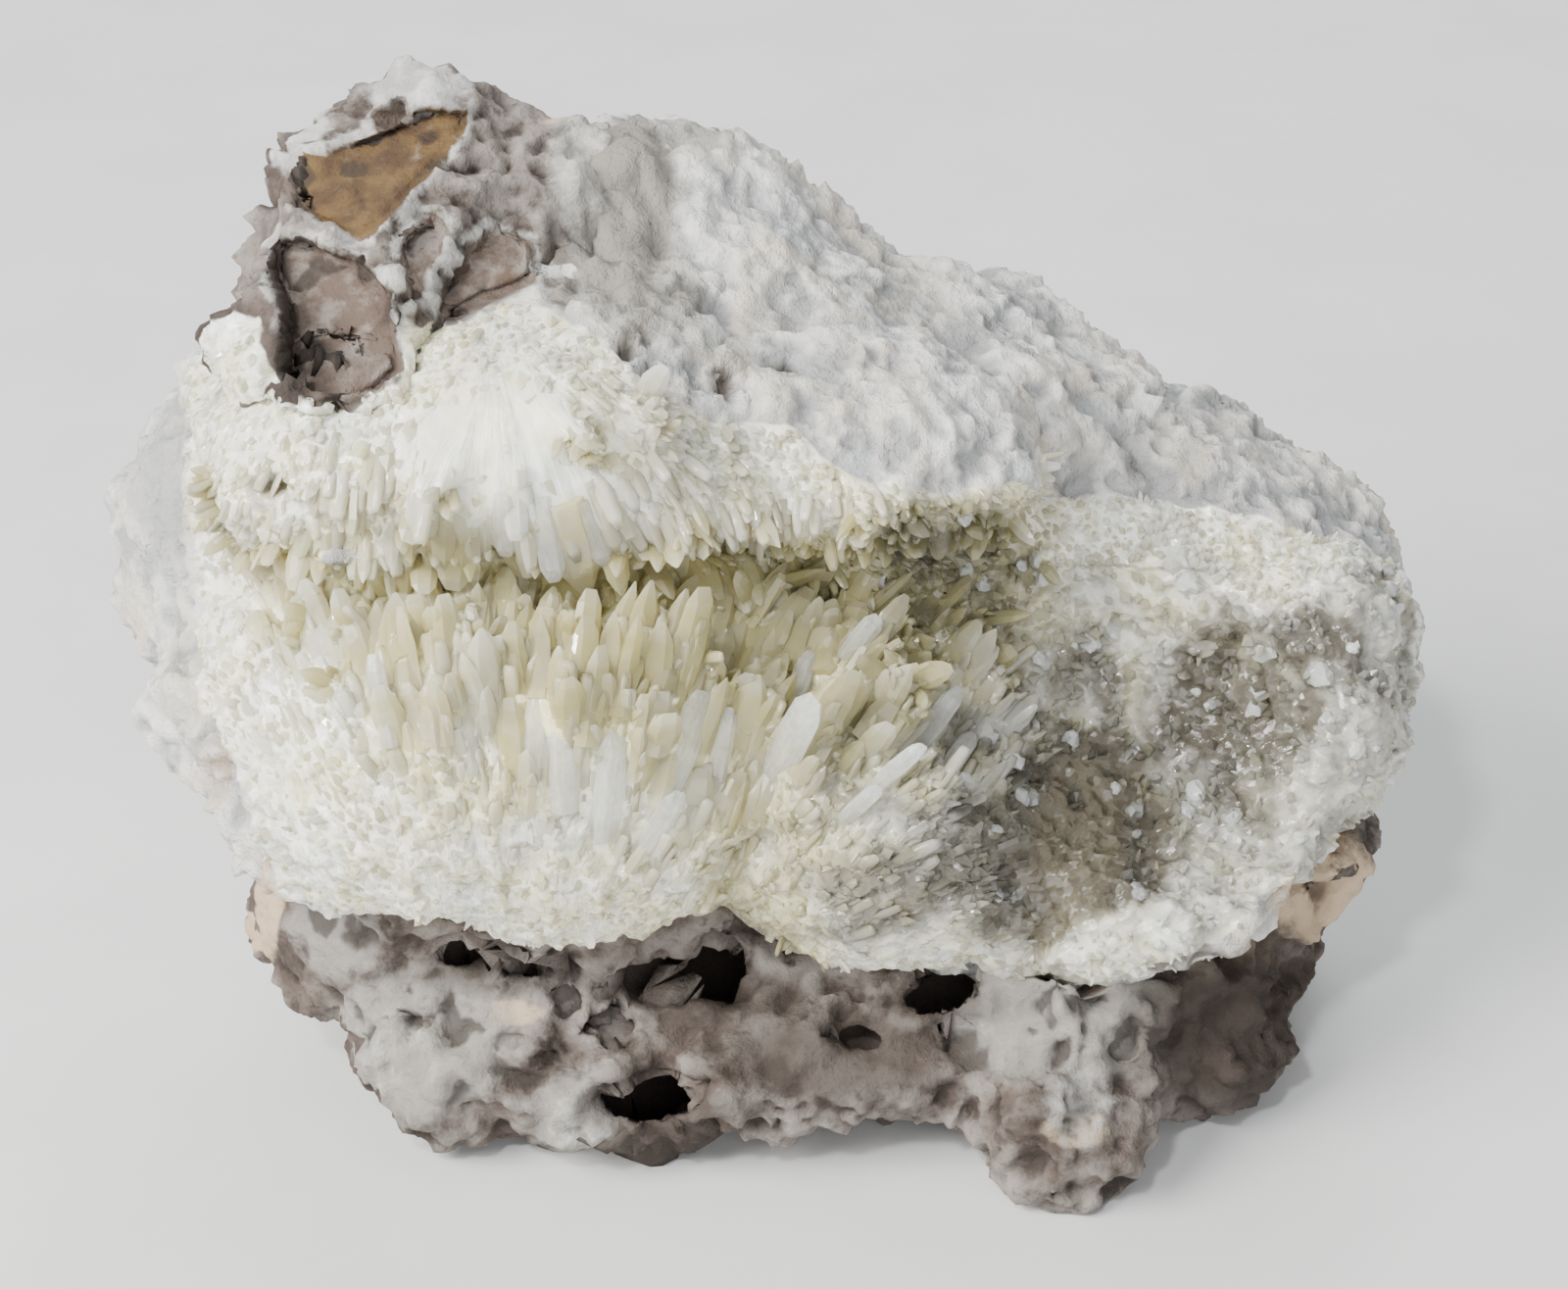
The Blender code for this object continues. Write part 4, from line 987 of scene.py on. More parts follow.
def growth_tree():
    """Grows crystals over a ground: one at each scattered point, along the ground's own growth vectors."""
    tree = bpy.data.node_groups.new("crystal growth", "GeometryNodeTree")
    sockets = [("Ground", "Geometry"), ("Cover", "String"), ("Shapes", "Collection"), ("Spacing", "Float"),
               ("Length", "Float"), ("Width", "Float"), ("Spread", "Float"), ("Tilt", "Float"), ("Sink", "Float"),
               ("Seed", "Int"), ("Material", "Material")]
    for name, kind in sockets:
        tree.interface.new_socket(name, in_out="INPUT", socket_type="NodeSocket" + kind)
    tree.interface.new_socket("Crystals", in_out="OUTPUT", socket_type="NodeSocketGeometry")

    def node(kind, settings=None, values=None):
        made = tree.nodes.new(kind)
        for name, setting in (settings or {}).items():
            setattr(made, name, setting)
        for name, value in (values or {}).items():
            if isinstance(value, bpy.types.NodeSocket):
                tree.links.new(value, made.inputs[name])
            else:
                made.inputs[name].default_value = value
        return made

    def named(name, kind="FLOAT"):
        return node("GeometryNodeInputNamedAttribute", {"data_type": kind}, {"Name": name}).outputs[0]

    def random_number(low, high, step):
        seed = node("FunctionNodeIntegerMath", {}, {0: entry["Seed"], 1: step}).outputs[0]
        return node("FunctionNodeRandomValue", {"data_type": "FLOAT"},
                    {2: low, 3: high, "Seed": seed}).outputs[1]

    def maths(operation, first, second):
        return node("ShaderNodeMath", {"operation": operation}, {0: first, 1: second}).outputs[0]

    entry = node("NodeGroupInput").outputs
    squared = maths("MULTIPLY", entry["Spacing"], entry["Spacing"])
    crowd = maths("DIVIDE", 2.2, squared)
    cover = node("GeometryNodeInputNamedAttribute", {"data_type": "FLOAT"}, {"Name": entry["Cover"]}).outputs[0]
    points = node("GeometryNodeDistributePointsOnFaces", {"distribute_method": "POISSON"},
                  {"Mesh": entry["Ground"], "Distance Min": entry["Spacing"], "Density Max": crowd,
                   "Density Factor": cover, "Seed": entry["Seed"]})
    down = maths("MULTIPLY", maths("MULTIPLY", entry["Sink"], named("size")), -1.0)
    shift = node("ShaderNodeVectorMath", {"operation": "SCALE"},
                 {0: points.outputs["Normal"], "Scale": down}).outputs[0]
    sunk = node("GeometryNodeSetPosition", {}, {"Geometry": points.outputs["Points"], "Offset": shift}).outputs[0]
    spread_low = maths("SUBTRACT", 1.0, entry["Spread"])
    spread_high = maths("ADD", 1.0, entry["Spread"])
    seed_tilt = node("FunctionNodeIntegerMath", {}, {0: entry["Seed"], 1: 11}).outputs[0]
    tilt_low = maths("MULTIPLY", entry["Tilt"], -1.0)
    low = node("ShaderNodeCombineXYZ", {}, {0: tilt_low, 1: tilt_low, 2: tilt_low}).outputs[0]
    high = node("ShaderNodeCombineXYZ", {}, {0: entry["Tilt"], 1: entry["Tilt"], 2: entry["Tilt"]}).outputs[0]
    sway = node("FunctionNodeRandomValue", {"data_type": "FLOAT_VECTOR"},
                {0: low, 1: high, "Seed": seed_tilt}).outputs[0]
    way = node("ShaderNodeVectorMath", {"operation": "ADD"}, {0: named("growth", "FLOAT_VECTOR"), 1: sway}).outputs[0]
    aligned = node("FunctionNodeAlignRotationToVector", {"axis": "Z"}, {"Vector": way}).outputs[0]
    faced = node("FunctionNodeAlignRotationToVector", {"axis": "Y", "pivot_axis": "Z"},
                 {"Rotation": aligned, "Vector": points.outputs["Normal"]}).outputs[0]
    turn = node("ShaderNodeCombineXYZ", {}, {2: random_number(-FACE_TURN, FACE_TURN, 21)}).outputs[0]
    turned = node("FunctionNodeRotateRotation", {"rotation_space": "LOCAL"},
                  {"Rotation": faced, "Rotate By": turn}).outputs[0]
    size = named("size")
    long = maths("MULTIPLY", maths("MULTIPLY", entry["Length"], size), random_number(spread_low, spread_high, 31))
    wide = maths("MULTIPLY", maths("MULTIPLY", entry["Width"], size), random_number(spread_low, spread_high, 41))
    scale = node("ShaderNodeCombineXYZ", {}, {0: wide, 1: wide, 2: long}).outputs[0]
    shapes = node("GeometryNodeCollectionInfo", {},
                  {"Collection": entry["Shapes"], "Separate Children": True, "Reset Children": True}).outputs[0]
    seed_pick = node("FunctionNodeIntegerMath", {}, {0: entry["Seed"], 1: 51}).outputs[0]
    pick = node("FunctionNodeRandomValue", {"data_type": "INT"}, {4: 0, 5: 1000, "Seed": seed_pick}).outputs[2]
    grown = node("GeometryNodeInstanceOnPoints", {},
                 {"Points": sunk, "Instance": shapes, "Pick Instance": True,
                  "Instance Index": pick, "Rotation": turned, "Scale": scale}).outputs[0]
    toned = node("GeometryNodeStoreNamedAttribute", {"data_type": "FLOAT", "domain": "INSTANCE"},
                 {"Geometry": grown, "Name": "tone", "Value": random_number(0.0, 1.0, 61)}).outputs[0]
    real = node("GeometryNodeRealizeInstances", {}, {"Geometry": toned}).outputs[0]
    finished = node("GeometryNodeSetMaterial", {}, {"Geometry": real, "Material": entry["Material"]}).outputs[0]
    out = node("NodeGroupOutput")
    tree.links.new(finished, out.inputs[0])
    return tree


def grow_crystals(ground, tree, layer, shapes, material, seed):
    """One mesh of crystals over the ground, made by the growth tree."""
    bearer = new_object("ground_copy", ground.data)
    grown = bearer.modifiers.new("crystals", "NODES")
    grown.node_group = tree
    inputs = {item.name: item.identifier for item in tree.interface.items_tree if item.in_out == "INPUT"}
    values = {"Cover": layer.cover, "Shapes": shapes, "Spacing": layer.spacing, "Length": layer.length,
              "Width": layer.width, "Spread": layer.spread, "Tilt": layer.tilt, "Sink": layer.sink, "Seed": seed,
              "Material": material}
    for name, value in values.items():
        grown[inputs[name]] = value
    graph = bpy.context.evaluated_depsgraph_get()
    mesh = bpy.data.meshes.new_from_object(bearer.evaluated_get(graph))
    mesh.name = layer.name
    bpy.data.objects.remove(bearer)
    if not mesh.polygons:
        raise RuntimeError("no crystals grew for " + layer.name)
    return new_object(layer.name, mesh)


def chart_values(across, up):
    """The growth chart read at each point, the nearer entries weighing more."""
    weights = np.empty((len(GROWTH_CHART), len(across)))
    for row, entry in enumerate(GROWTH_CHART):
        far = (across - entry.across) ** 2 + (up - entry.up) ** 2
        weights[row] = 1 / (far + 1.5) ** 2.5
    weights /= weights.sum(axis=0)
    found = {}
    for name in Growth._fields[3:]:
        found[name] = np.array([getattr(entry, name) for entry in GROWTH_CHART]) @ weights
    leans = np.radians([entry.lean for entry in GROWTH_CHART])
    found["right"] = np.sin(leans) @ weights
    found["upward"] = np.cos(leans) @ weights
    return found


def along_ground(ways, normals):
    """The same ways to the eye, but laid along the ground."""
    facing = np.maximum(normals @ BACK, 0.35)
    laid = ways - BACK * (np.sum(ways * normals, axis=1) / facing)[:, None]
    laid = laid - normals * np.sum(laid * normals, axis=1)[:, None]
    return scale_to_one(laid)


def scale_to_one(ways):
    return ways / np.maximum(np.linalg.norm(ways, axis=1, keepdims=True), 1e-9)


def settings_of(context):
    return context.scene.aragonite_specimen


class AragoniteSettings(bpy.types.PropertyGroup):
    """Sizes and colours of the rock, the crystals and the stage."""

    skin_voxel: FloatProperty(
        name="Skin fineness", description="Size of the cells that the rock skins are rebuilt from",
        default=0.00052, min=0.0002, unit="LENGTH", precision=5)
    swell: FloatProperty(
        name="Seam closing", description="How far the skins grow, so that no gap shows between the pieces",
        default=0.0003, min=0.0, unit="LENGTH", precision=5)
    spear_length: FloatProperty(
        name="Spear length", description="Length of the spears on the lower wall of the cleft",
        default=0.0046, min=0.001, unit="LENGTH", precision=4)
    spear_width: FloatProperty(
        name="Spear width", description="Width of the spears on the lower wall of the cleft",
        default=0.0025, min=0.0003, unit="LENGTH", precision=4)
    blade_length: FloatProperty(
        name="Blade length", description="Length of the fine blades before the growth chart scales them",
        default=0.0031, min=0.0005, unit="LENGTH", precision=4)
    blade_width: FloatProperty(
        name="Blade width", description="Width of the fine blades before the growth chart scales them",
        default=0.0012, min=0.0001, unit="LENGTH", precision=4)
    grain_length: FloatProperty(
        name="Grain length", description="Length of the sugary grains",
        default=0.0012, min=0.0002, unit="LENGTH", precision=4)
    seed: IntProperty(name="Seed", description="Picks one scatter of the crystals", default=3, min=0)
    # The rock's own darkest tone, and also the colour of the painted shade on the host rock
    host_dark: FloatVectorProperty(
        name="Host shadow", description="Darkest tone of the host rock", subtype="COLOR",
        default=(0.05, 0.038, 0.031), min=0, max=1)
    host_brown: FloatVectorProperty(
        name="Host brown", description="Main tone of the host rock", subtype="COLOR",
        default=(0.125, 0.096, 0.08), min=0, max=1)
    host_grey: FloatVectorProperty(
        name="Host grey", description="Pale tone of the host rock", subtype="COLOR",
        default=(0.27, 0.24, 0.215), min=0, max=1)
    pane_brown: FloatVectorProperty(
        name="Pane brown", description="Floor of the sunken panes", subtype="COLOR",
        default=(0.125, 0.09, 0.07), min=0, max=1)
    pane_crust: FloatVectorProperty(
        name="Pane crust", description="Pale crust on the floor of the sunken panes", subtype="COLOR",
        default=(0.25, 0.215, 0.185), min=0, max=1)
    ochre: FloatVectorProperty(
        name="Ochre", description="Bright tone of the ochre pane", subtype="COLOR",
        default=(0.138, 0.084, 0.035), min=0, max=1)
    ochre_dark: FloatVectorProperty(
        name="Dark ochre", description="Dark tone of the ochre pane", subtype="COLOR",
        default=(0.07, 0.042, 0.023), min=0, max=1)
    tan_edge: FloatVectorProperty(
        name="Tan", description="Beige edges of the rock", subtype="COLOR",
        default=(0.50, 0.38, 0.26), min=0, max=1)
    vein_white: FloatVectorProperty(
        name="Vein white", description="Pale tone of the veins in the knob", subtype="COLOR",
        default=(0.58, 0.57, 0.53), min=0, max=1)
    vein_grey: FloatVectorProperty(
        name="Vein grey", description="Dark tone of the veins in the knob", subtype="COLOR",
        default=(0.38, 0.37, 0.35), min=0, max=1)
    rind_white: FloatVectorProperty(
        name="Rind white", description="Palest tone of the weathered rind", subtype="COLOR",
        default=(0.76, 0.745, 0.70), min=0, max=1)
    rind_beige: FloatVectorProperty(
        name="Rind beige", description="Warm tone of the weathered rind", subtype="COLOR",
        default=(0.66, 0.60, 0.51), min=0, max=1)
    rind_cool: FloatVectorProperty(
        name="Rind blue-grey", description="Cool tone of the weathered rind", subtype="COLOR",
        default=(0.50, 0.54, 0.54), min=0, max=1)
    # The colour of the painted shade in the rind's crevices and shade patches
    rind_shadow: FloatVectorProperty(
        name="Rind crevice", description="Tone inside the crevices of the rind", subtype="COLOR",
        default=(0.14, 0.12, 0.10), min=0, max=1)
    rind_grey: FloatVectorProperty(
        name="Rind grey", description="Tone of the grooves in the weathered rind", subtype="COLOR",
        default=(0.36, 0.36, 0.355), min=0, max=1)
    old_grey: FloatVectorProperty(
        name="Old grey", description="Brownish grey where the rock and the rind meet", subtype="COLOR",
        default=(0.27, 0.25, 0.222), min=0, max=1)
    crystal_white: FloatVectorProperty(
        name="Crystal white", description="Palest tone of the crystals", subtype="COLOR",
        default=(0.97, 0.965, 0.89), min=0, max=1)
    crystal_milk: FloatVectorProperty(
        name="Crystal milk", description="Cloudy tone of the crystals", subtype="COLOR",
        default=(0.96, 0.93, 0.76), min=0, max=1)
    # Partly the crystals' own grey and partly the colour of the painted shade of the bowl
    crystal_grey: FloatVectorProperty(
        name="Crystal grey", description="Tone of the grainy crystals in the bowl", subtype="COLOR",
        default=(0.125, 0.112, 0.085), min=0, max=1)
    crystal_honey: FloatVectorProperty(
        name="Crystal honey", description="Deepest tone of the crystals", subtype="COLOR",
        default=(0.85, 0.79, 0.46), min=0, max=1)
    # Also the colour of the painted shade on the crystalline ground, and of its darker mottling
    crystal_shadow: FloatVectorProperty(
        name="Crystal shadow", description="Tone of the ground between the crystals", subtype="COLOR",
        default=(0.19, 0.16, 0.105), min=0, max=1)
    floor_colour: FloatVectorProperty(
        name="Floor", description="Colour of the floor", subtype="COLOR",
        default=(0.72, 0.72, 0.71), min=0, max=1)
    key_power: FloatProperty(
        name="Main light", description="Power of the main light", default=11.0, min=0, unit="POWER")
    fill_power: FloatProperty(
        name="Fill light", description="Power of the fill light", default=2.1, min=0, unit="POWER")
    sky_strength: FloatProperty(
        name="Sky", description="Strength of the even light from all round", default=0.36, min=0)


class ARAGONITE_OT_host_rock(bpy.types.Operator):
    """Makes the fine skin of the brown host rock"""
    bl_idname = "aragonite.host_rock"
    bl_label = "Host rock"

    def execute(self, context):
        settings = settings_of(context)
        rock = joined_copy("host_rock_skin", ["host_rock"], settings.swell)
        voxel_skin(rock, settings.skin_voxel, 6)
        thin_hidden(rock, ["aragonite_mass", "crystal_crust"])
        mesh = rock.data
        points = points_of(mesh)
        across, up, near = in_view(points)
        points, edge, ochre = pane_floors(points, normals_of(mesh), 0.5 * (up < 22.5), 9.0)
        place_points(mesh, points)
        seen = visible(points, normals_of(mesh), tree_of(mesh))
        pane = smooth_step(-0.45, 0.15, edge) * seen
        ochre = ochre * seen
        seen = visible(points, normals_of(mesh), tree_of(mesh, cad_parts["aragonite_mass"].data))
        normals = normals_of(mesh)
        crystal_edge = inside(across, up, CRYSTAL_GROUND) + 1.2 * fractal(points, 5 * MM, 3)
        crystalline = smooth_step(-0.8, 0.8, crystal_edge) * (1 - pane) * seen * (up > 5)
        veins = smooth_step(-1.3, -0.5, edge + 0.9 * fractal(points, 2.5 * MM, 3)) * (1 - pane) * seen * 0.65
        pale = np.maximum(painted("pale", PATCHES, across, up, seen), veins) * (1 - pane)
        tan = painted("tan", PATCHES, across, up, seen)
        cut = cut_depth(across + 0.5 * fractal(points, 2 * MM, 3), up + 0.5 * fractal(points[::-1], 2 * MM, 3), seen)
        cut = cut * smooth_step(1.5, 4.5, points[:, 2] / MM)
        # Painted shade: the shade patches, and darker colour in the holes and crevices by their depth
        shade = np.maximum(painted("shade", PATCHES, across, up, seen), smooth_step(0.2, 1.6, cut) * 0.9)
        flat = painted("smooth", PATCHES, across, up, seen)
        smooth = np.maximum.reduce((pane, pale * 0.2, flat, 0.6 * crystalline))
        warped = points + 1.1 * MM * ways_of_noise(points, 2.2 * MM)
        holes = hollows(warped, 5.2 * MM) * smooth_step(0.0, 0.4, fractal(points, 13 * MM))
        pores = hollows(warped, 1.9 * MM) * smooth_step(0.0, 0.5, fractal(points, 6 * MM))
        lumps = knobs(warped, 3.4 * MM)
        uneven = fractal(points, 2.2 * MM, 5)
        crags = np.abs(fractal(warped, 4.5 * MM, 5))
        height = 0.4 * lumps + 0.8 * uneven - 1.1 * crags + 0.8 * fractal(points, 7 * MM, 3) + 0.1
        height = height * (1 - 0.8 * smooth) - (1.2 * holes + 0.6 * pores) * (1 - smooth) - cut
        height = height * smooth_step(0.0, 1.2, points[:, 2] / MM)
        points = pushed(points + normals * height[:, None] * MM)
        points[:, 2] = np.maximum(points[:, 2], 0.0)
        place_points(mesh, points)
        deep = np.maximum(holes, 0.8 * pores)
        # The relief also sets the painted shade in the holes, pores and crags
        relief = 0.62 + 0.5 * uneven + 0.2 * (lumps - 0.5) - 0.5 * crags - 0.7 * deep
        store(mesh, "relief", np.clip(relief, 0, 1))
        chart = chart_values(across, up)
        old = painted("old", PATCHES, across, up, seen)
        kept = {"pane": pane, "ochre": ochre, "pale": pale, "tan": tan, "shade": shade, "crystalline": crystalline,
                "old": old,
                "honey": chart["honey"], "grey": chart["grey"] * crystalline, "seen": seen, "cleft": 0 * seen,
                "sugary": chart["grains"], "lines": growth_lines(across, up)}
        for name, values in kept.items():
            store(mesh, name, values)
        mesh.materials.clear()
        mesh.materials.append(host_material(settings))
        mesh.shade_smooth()
        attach(rock, "root")
        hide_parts("host_rock")
        plug = pane_plug(settings)
        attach(plug, "root")
        return {"FINISHED"}


class ARAGONITE_OT_aragonite(bpy.types.Operator):
    """Makes the skin of the aragonite: the weathered rind and the ground that the crystals grow from"""
    bl_idname = "aragonite.aragonite"
    bl_label = "Aragonite"

    def execute(self, context):
        settings = settings_of(context)
        skin = joined_copy("aragonite_skin", ["aragonite_mass", "crystal_crust"], settings.swell)
        voxel_skin(skin, settings.skin_voxel, 6)
        thin_hidden(skin, ["host_rock"])
        mesh = skin.data
        crust = tree_of(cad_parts["crystal_crust"].data)
        points = points_of(mesh)
        normals = normals_of(mesh)
        seen = visible(points, normals, tree_of(mesh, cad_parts["host_rock"].data))
        across, up, near = in_view(points)
        points = shallower(points, across, up, near)
        place_points(mesh, points)
        edge = inside(across, up, CRYSTAL_GROUND) + 1.2 * fractal(points, 5 * MM, 3)
        shown = smooth_step(-0.8, 0.8, edge)
        gap = np.array([crust.find_nearest(Vector(point))[3] for point in points]) / MM
        crystalline = np.where(seen > 0, shown, 1 - smooth_step(0.5, 1.5, gap))
        group = skin.vertex_groups.new(name="crystalline")
        for index in np.nonzero(crystalline > 0.5)[0]:
            group.add([int(index)], 1.0, "REPLACE")
        soft = skin.modifiers.new("ground", "SMOOTH")
        soft.iterations = 160
        soft.vertex_group = "crystalline"
        apply_modifiers(skin)
        mesh = skin.data
        skin.vertex_groups.clear()
        points = points_of(mesh)
        normals = normals_of(mesh)
        bent = points + 0.9 * MM * ways_of_noise(points, 3.5 * MM)
        drawn = bent - RIND_DRAW * (bent @ RIND_GRAIN)[:, None] * RIND_GRAIN
        lumps = knobs(drawn, 3.0 * MM)
        chips = knobs(bent, 2.6 * MM)
        ridges = 1 - 2 * np.abs(fractal(drawn, 3.4 * MM, 5))
        pane = smooth_step(-0.6, 0.0, pane_floors(points, normals, 0.0, 20.0)[1]) * (normals @ BACK > -0.3)
        crystalline = crystalline * (1 - pane)
        fine = fractal(points, 1.3 * MM, 4)
        coarse = fractal(points, 6 * MM, 5)
        lines = growth_lines(across, up)
        ribs = fractal(lines, 1.5 * MM, 3)
        roughness = 0.55 + 0.45 * smooth_step(-0.3, 0.3, fractal(points, 11 * MM, 2))
        pits = hollows(bent, 1.7 * MM) * smooth_step(-0.1, 0.4, fractal(points[::-1], 8 * MM, 2))
        crags = np.abs(fractal(bent, 4.2 * MM, 5))
        height = 0.25 * lumps + 0.45 * chips + 0.4 * ridges + 0.6 * fine - 1.3 * crags
        height = height * roughness + coarse - 0.1
        height = height - 0.5 * pits
        chart = chart_values(across, up)
        bowl = smooth_step(0.2, 0.45, chart["grey"]) * seen
        sugary = chart["grains"]
        ground = 0.3 * fractal(points, 3 * MM, 3) + bowl * (0.9 * fractal(points, 4.5 * MM, 3) + 0.5 * fine)
        ground += (1 - bowl) * (0.35 * ribs + sugary * 0.45 * fine)
        cut = cut_depth(across + 0.5 * fine, up + 0.5 * coarse, seen)
        rock = tree_of(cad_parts["host_rock"].data)
        apart = np.array([rock.find_nearest(Vector(point))[3] for point in points]) / MM
        ramp = RAMP * painted("raise", PATCHES, across, up, normals @ BACK > 0) * (1 - smooth_step(0, RAMP_REACH, apart))
        height = (height * (1 - crystalline) + ground * crystalline - cut) * (1 - pane) + ramp
        points = points + normals * height[:, None] * MM
        points = pushed(pane_floors(points, normals, 0.5 * (up > 22.5), 20.0)[0])
        place_points(mesh, points)
        cleft = smooth_step(-8, -2, up) * smooth_step(22, 12, across) * smooth_step(22, 14, up)
        # Painted shade: the ground hidden deep in the cleft gets a deeper honey
        deep = (1 - seen) * crystalline * cleft
        flank = np.exp(-((across + 48) / 5) ** 2 - ((up - 12) / 10) ** 2) * seen
        # Painted shade: the shade patches, and darker colour in the holes and crevices by their depth
        shade = np.maximum(painted("shade", PATCHES, across, up, seen), smooth_step(0.2, 1.2, cut) * 0.8)
        kept = {"pane": pane, "relief": np.clip(0.7 + 0.3 * fine + 0.3 * coarse - 0.7 * crags - 0.5 * pits, 0, 1),
                "crystalline": crystalline, "honey": np.clip(chart["honey"] + 0.5 * deep, 0, 1), "seen": seen,
                "cleft": deep, "grey": np.maximum(flank * (1 - crystalline), chart["grey"] * crystalline),
                "tan": painted("tan", PATCHES, across, up, seen), "shade": shade, "sugary": sugary, "lines": lines,
                "old": painted("old", PATCHES, across, up, seen)}
        for name, values in kept.items():
            store(mesh, name, values)
        mesh.materials.clear()
        mesh.materials.append(aragonite_material(settings))
        mesh.shade_smooth()
        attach(skin, "root")
        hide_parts("aragonite_mass", "crystal_crust")
        return {"FINISHED"}


def crystal_ground():
    """The crystalline parts of both skins, with what the growth tree reads."""
    names = ("crystalline", "seen", "cleft", "pane", "honey", "grey", "shade")
    points, faces = np.empty((0, 3)), np.empty((0, 3), dtype=np.int64)
    kept = {name: np.empty(0) for name in names}
    skins = [bpy.data.objects.get(name) for name in ("aragonite_skin", "host_rock_skin")]
    if None in skins:
        raise RuntimeError("make the host rock and the aragonite first")
    for skin in skins:
        mesh = skin.data
        mesh.calc_loop_triangles()
        corners = np.empty(len(mesh.loop_triangles) * 3, dtype=np.int64)
        mesh.loop_triangles.foreach_get("vertices", corners)
        corners = corners.reshape(-1, 3)
        wanted = stored(mesh, "crystalline") > 0.3
        corners = corners[wanted[corners].all(axis=1)]
        used, order = np.unique(corners, return_inverse=True)
        faces = np.concatenate((faces, order.reshape(-1, 3) + len(points)))
        points = np.concatenate((points, points_of(mesh)[used]))
        for name in names:
            kept[name] = np.concatenate((kept[name], stored(mesh, name)[used]))
    mesh = bpy.data.meshes.new("crystal_ground")
    mesh.from_pydata(points.tolist(), [], faces.tolist())
    ground = new_object("crystal_ground", mesh)
    for name in names[4:]:
        store(mesh, name, kept[name])
    normals = normals_of(mesh)
    chart = chart_values(*in_view(points)[:2])
    seen, cleft = kept["seen"], kept["cleft"]
    cover = smooth_step(0.4, 0.7, kept["crystalline"]) * (1 - kept["pane"]) * (kept["shade"] < 0.4)
    across, up, near = in_view(points)
    for crystal in CLEAR_CRYSTALS:
        turn = math.radians(crystal.lean)
        right, upward = across - crystal.across, up - crystal.up
        along = np.clip(right * math.sin(turn) + upward * math.cos(turn), 0, crystal.length * 0.8)
        far = np.hypot(right - along * math.sin(turn), upward - along * math.cos(turn))
        cover = cover * smooth_step(0.3 * crystal.width, 0.6 * crystal.width, far)
    cover = cover * np.where(up < -12, smooth_step(0.25, 0.5, normals @ BACK), 1)
    blocked = tree_of(*[skin.data for skin in skins])
    open_air = np.ones(len(points))
    for index, (point, normal) in enumerate(zip(points, normals)):
        if not seen[index]:
            start = Vector(point + normal * 0.3 * MM)
            open_air[index] = blocked.ray_cast(start, Vector(normal), 3.5 * MM)[0] is None
    cover = np.clip(cover, 0, 1)
    along = chart["right"][:, None] * SIDE + chart["upward"][:, None] * RISE
    along = along_ground(along, normals)
    out = np.where(seen > 0, chart["out"], 0.9)[:, None]
    grown = scale_to_one(along * (1 - out) + normals * out)
    outward = scale_to_one(normals + BACK * 1.2)
    store(mesh, "growth", np.where(cleft[:, None] > 0.3, outward, grown))
    store(mesh, "size", np.where(seen > 0, chart["size"], 0.7))
    store(mesh, "clear", chart["clear"])
    lumpy = smooth_step(0.2, 0.4, chart["grey"]) * smooth_step(12, 20, in_view(points)[0]) * seen
    clumps = 0.75 * smooth_step(0.0, 0.35, fractal(points, 5 * MM, 3))
    spears = chart["spears"] * smooth_step(0.1, 0.3, chart["spears"])
    blades = chart["blades"] * smooth_step(0.06, 0.16, chart["blades"])
    amounts = {"spears": (spears, 0.8 * cleft), "blades": (blades, 0.3 * cleft),
               "grains": (chart["grains"] * (1 - 0.8 * lumpy), 1.0), "lumps": (lumpy * clumps, 0.0)}
    for kind, (shown, hidden) in amounts.items():
        store(mesh, kind, np.where(seen > 0, shown, hidden) * cover * open_air)
    across, up, near = in_view(points)
    band = np.exp(-((up - 5.5) / 2.6) ** 2) * smooth_step(-38, -30, across) * smooth_step(14, 6, across)
    store(mesh, "specks", band * cover * seen)
    return ground


class ARAGONITE_OT_crystals(bpy.types.Operator):
    """Grows the spears, blades and grains of the crust, and the dark specks between them"""
    bl_idname = "aragonite.crystals"
    bl_label = "Crystals"

    def execute(self, context):
        settings = settings_of(context)
        ground = crystal_ground()
        tree = growth_tree()
        layers = [
            Layer("spears", "spears", "spears", 1.3 * MM, settings.spear_length, settings.spear_width, 0.22, 0.07,
                  0.3 * MM),
            Layer("small_spears", "spears", "spears", 0.95 * MM, settings.spear_length * 0.6,
                  settings.spear_width * 0.6, 0.25, 0.1, 0.15 * MM),
            Layer("blades", "blades", "blades", 0.75 * MM, settings.blade_length, settings.blade_width, 0.25, 0.04,
                  0.3 * MM),
            Layer("grains", "grains", "grains", 0.52 * MM, settings.grain_length, settings.grain_length * 0.8,
                  0.45, 0.5, 0.35 * MM),
            Layer("lumps", "lumps", "lumps", 1.4 * MM, settings.grain_length * 1.25, settings.grain_length * 1.4,
                  0.5, 0.6, 0.25 * MM),
        ]
        crystal = crystal_material(settings, "honey_crystal", 0.7, 0.6, 0.5, 0.15, 0.4)
        sugar = crystal_material(settings, "sugary_crystal", 0.3, 0.68, 0.3, 0.7, 0.15)
        finishes = {"spears": crystal, "small_spears": crystal, "blades": sugar, "grains": sugar,
                    "lumps": cluster_material(settings)}
        for step, layer in enumerate(layers):
            made = grow_crystals(ground, tree, layer, shapes_collection(layer.shapes), finishes[layer.name],
                                 settings.seed + step)
            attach(made, "root")
        specks = Layer("dark_specks", "specks", "grains", 1.5 * MM, 0.6 * MM, 0.3 * MM, 0.4, 0.8, 0.0)
        made = grow_crystals(ground, tree, specks, shapes_collection("specks"), speck_material(), settings.seed + 9)
        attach(made, "root")
        bpy.data.objects.remove(ground)
        return {"FINISHED"}


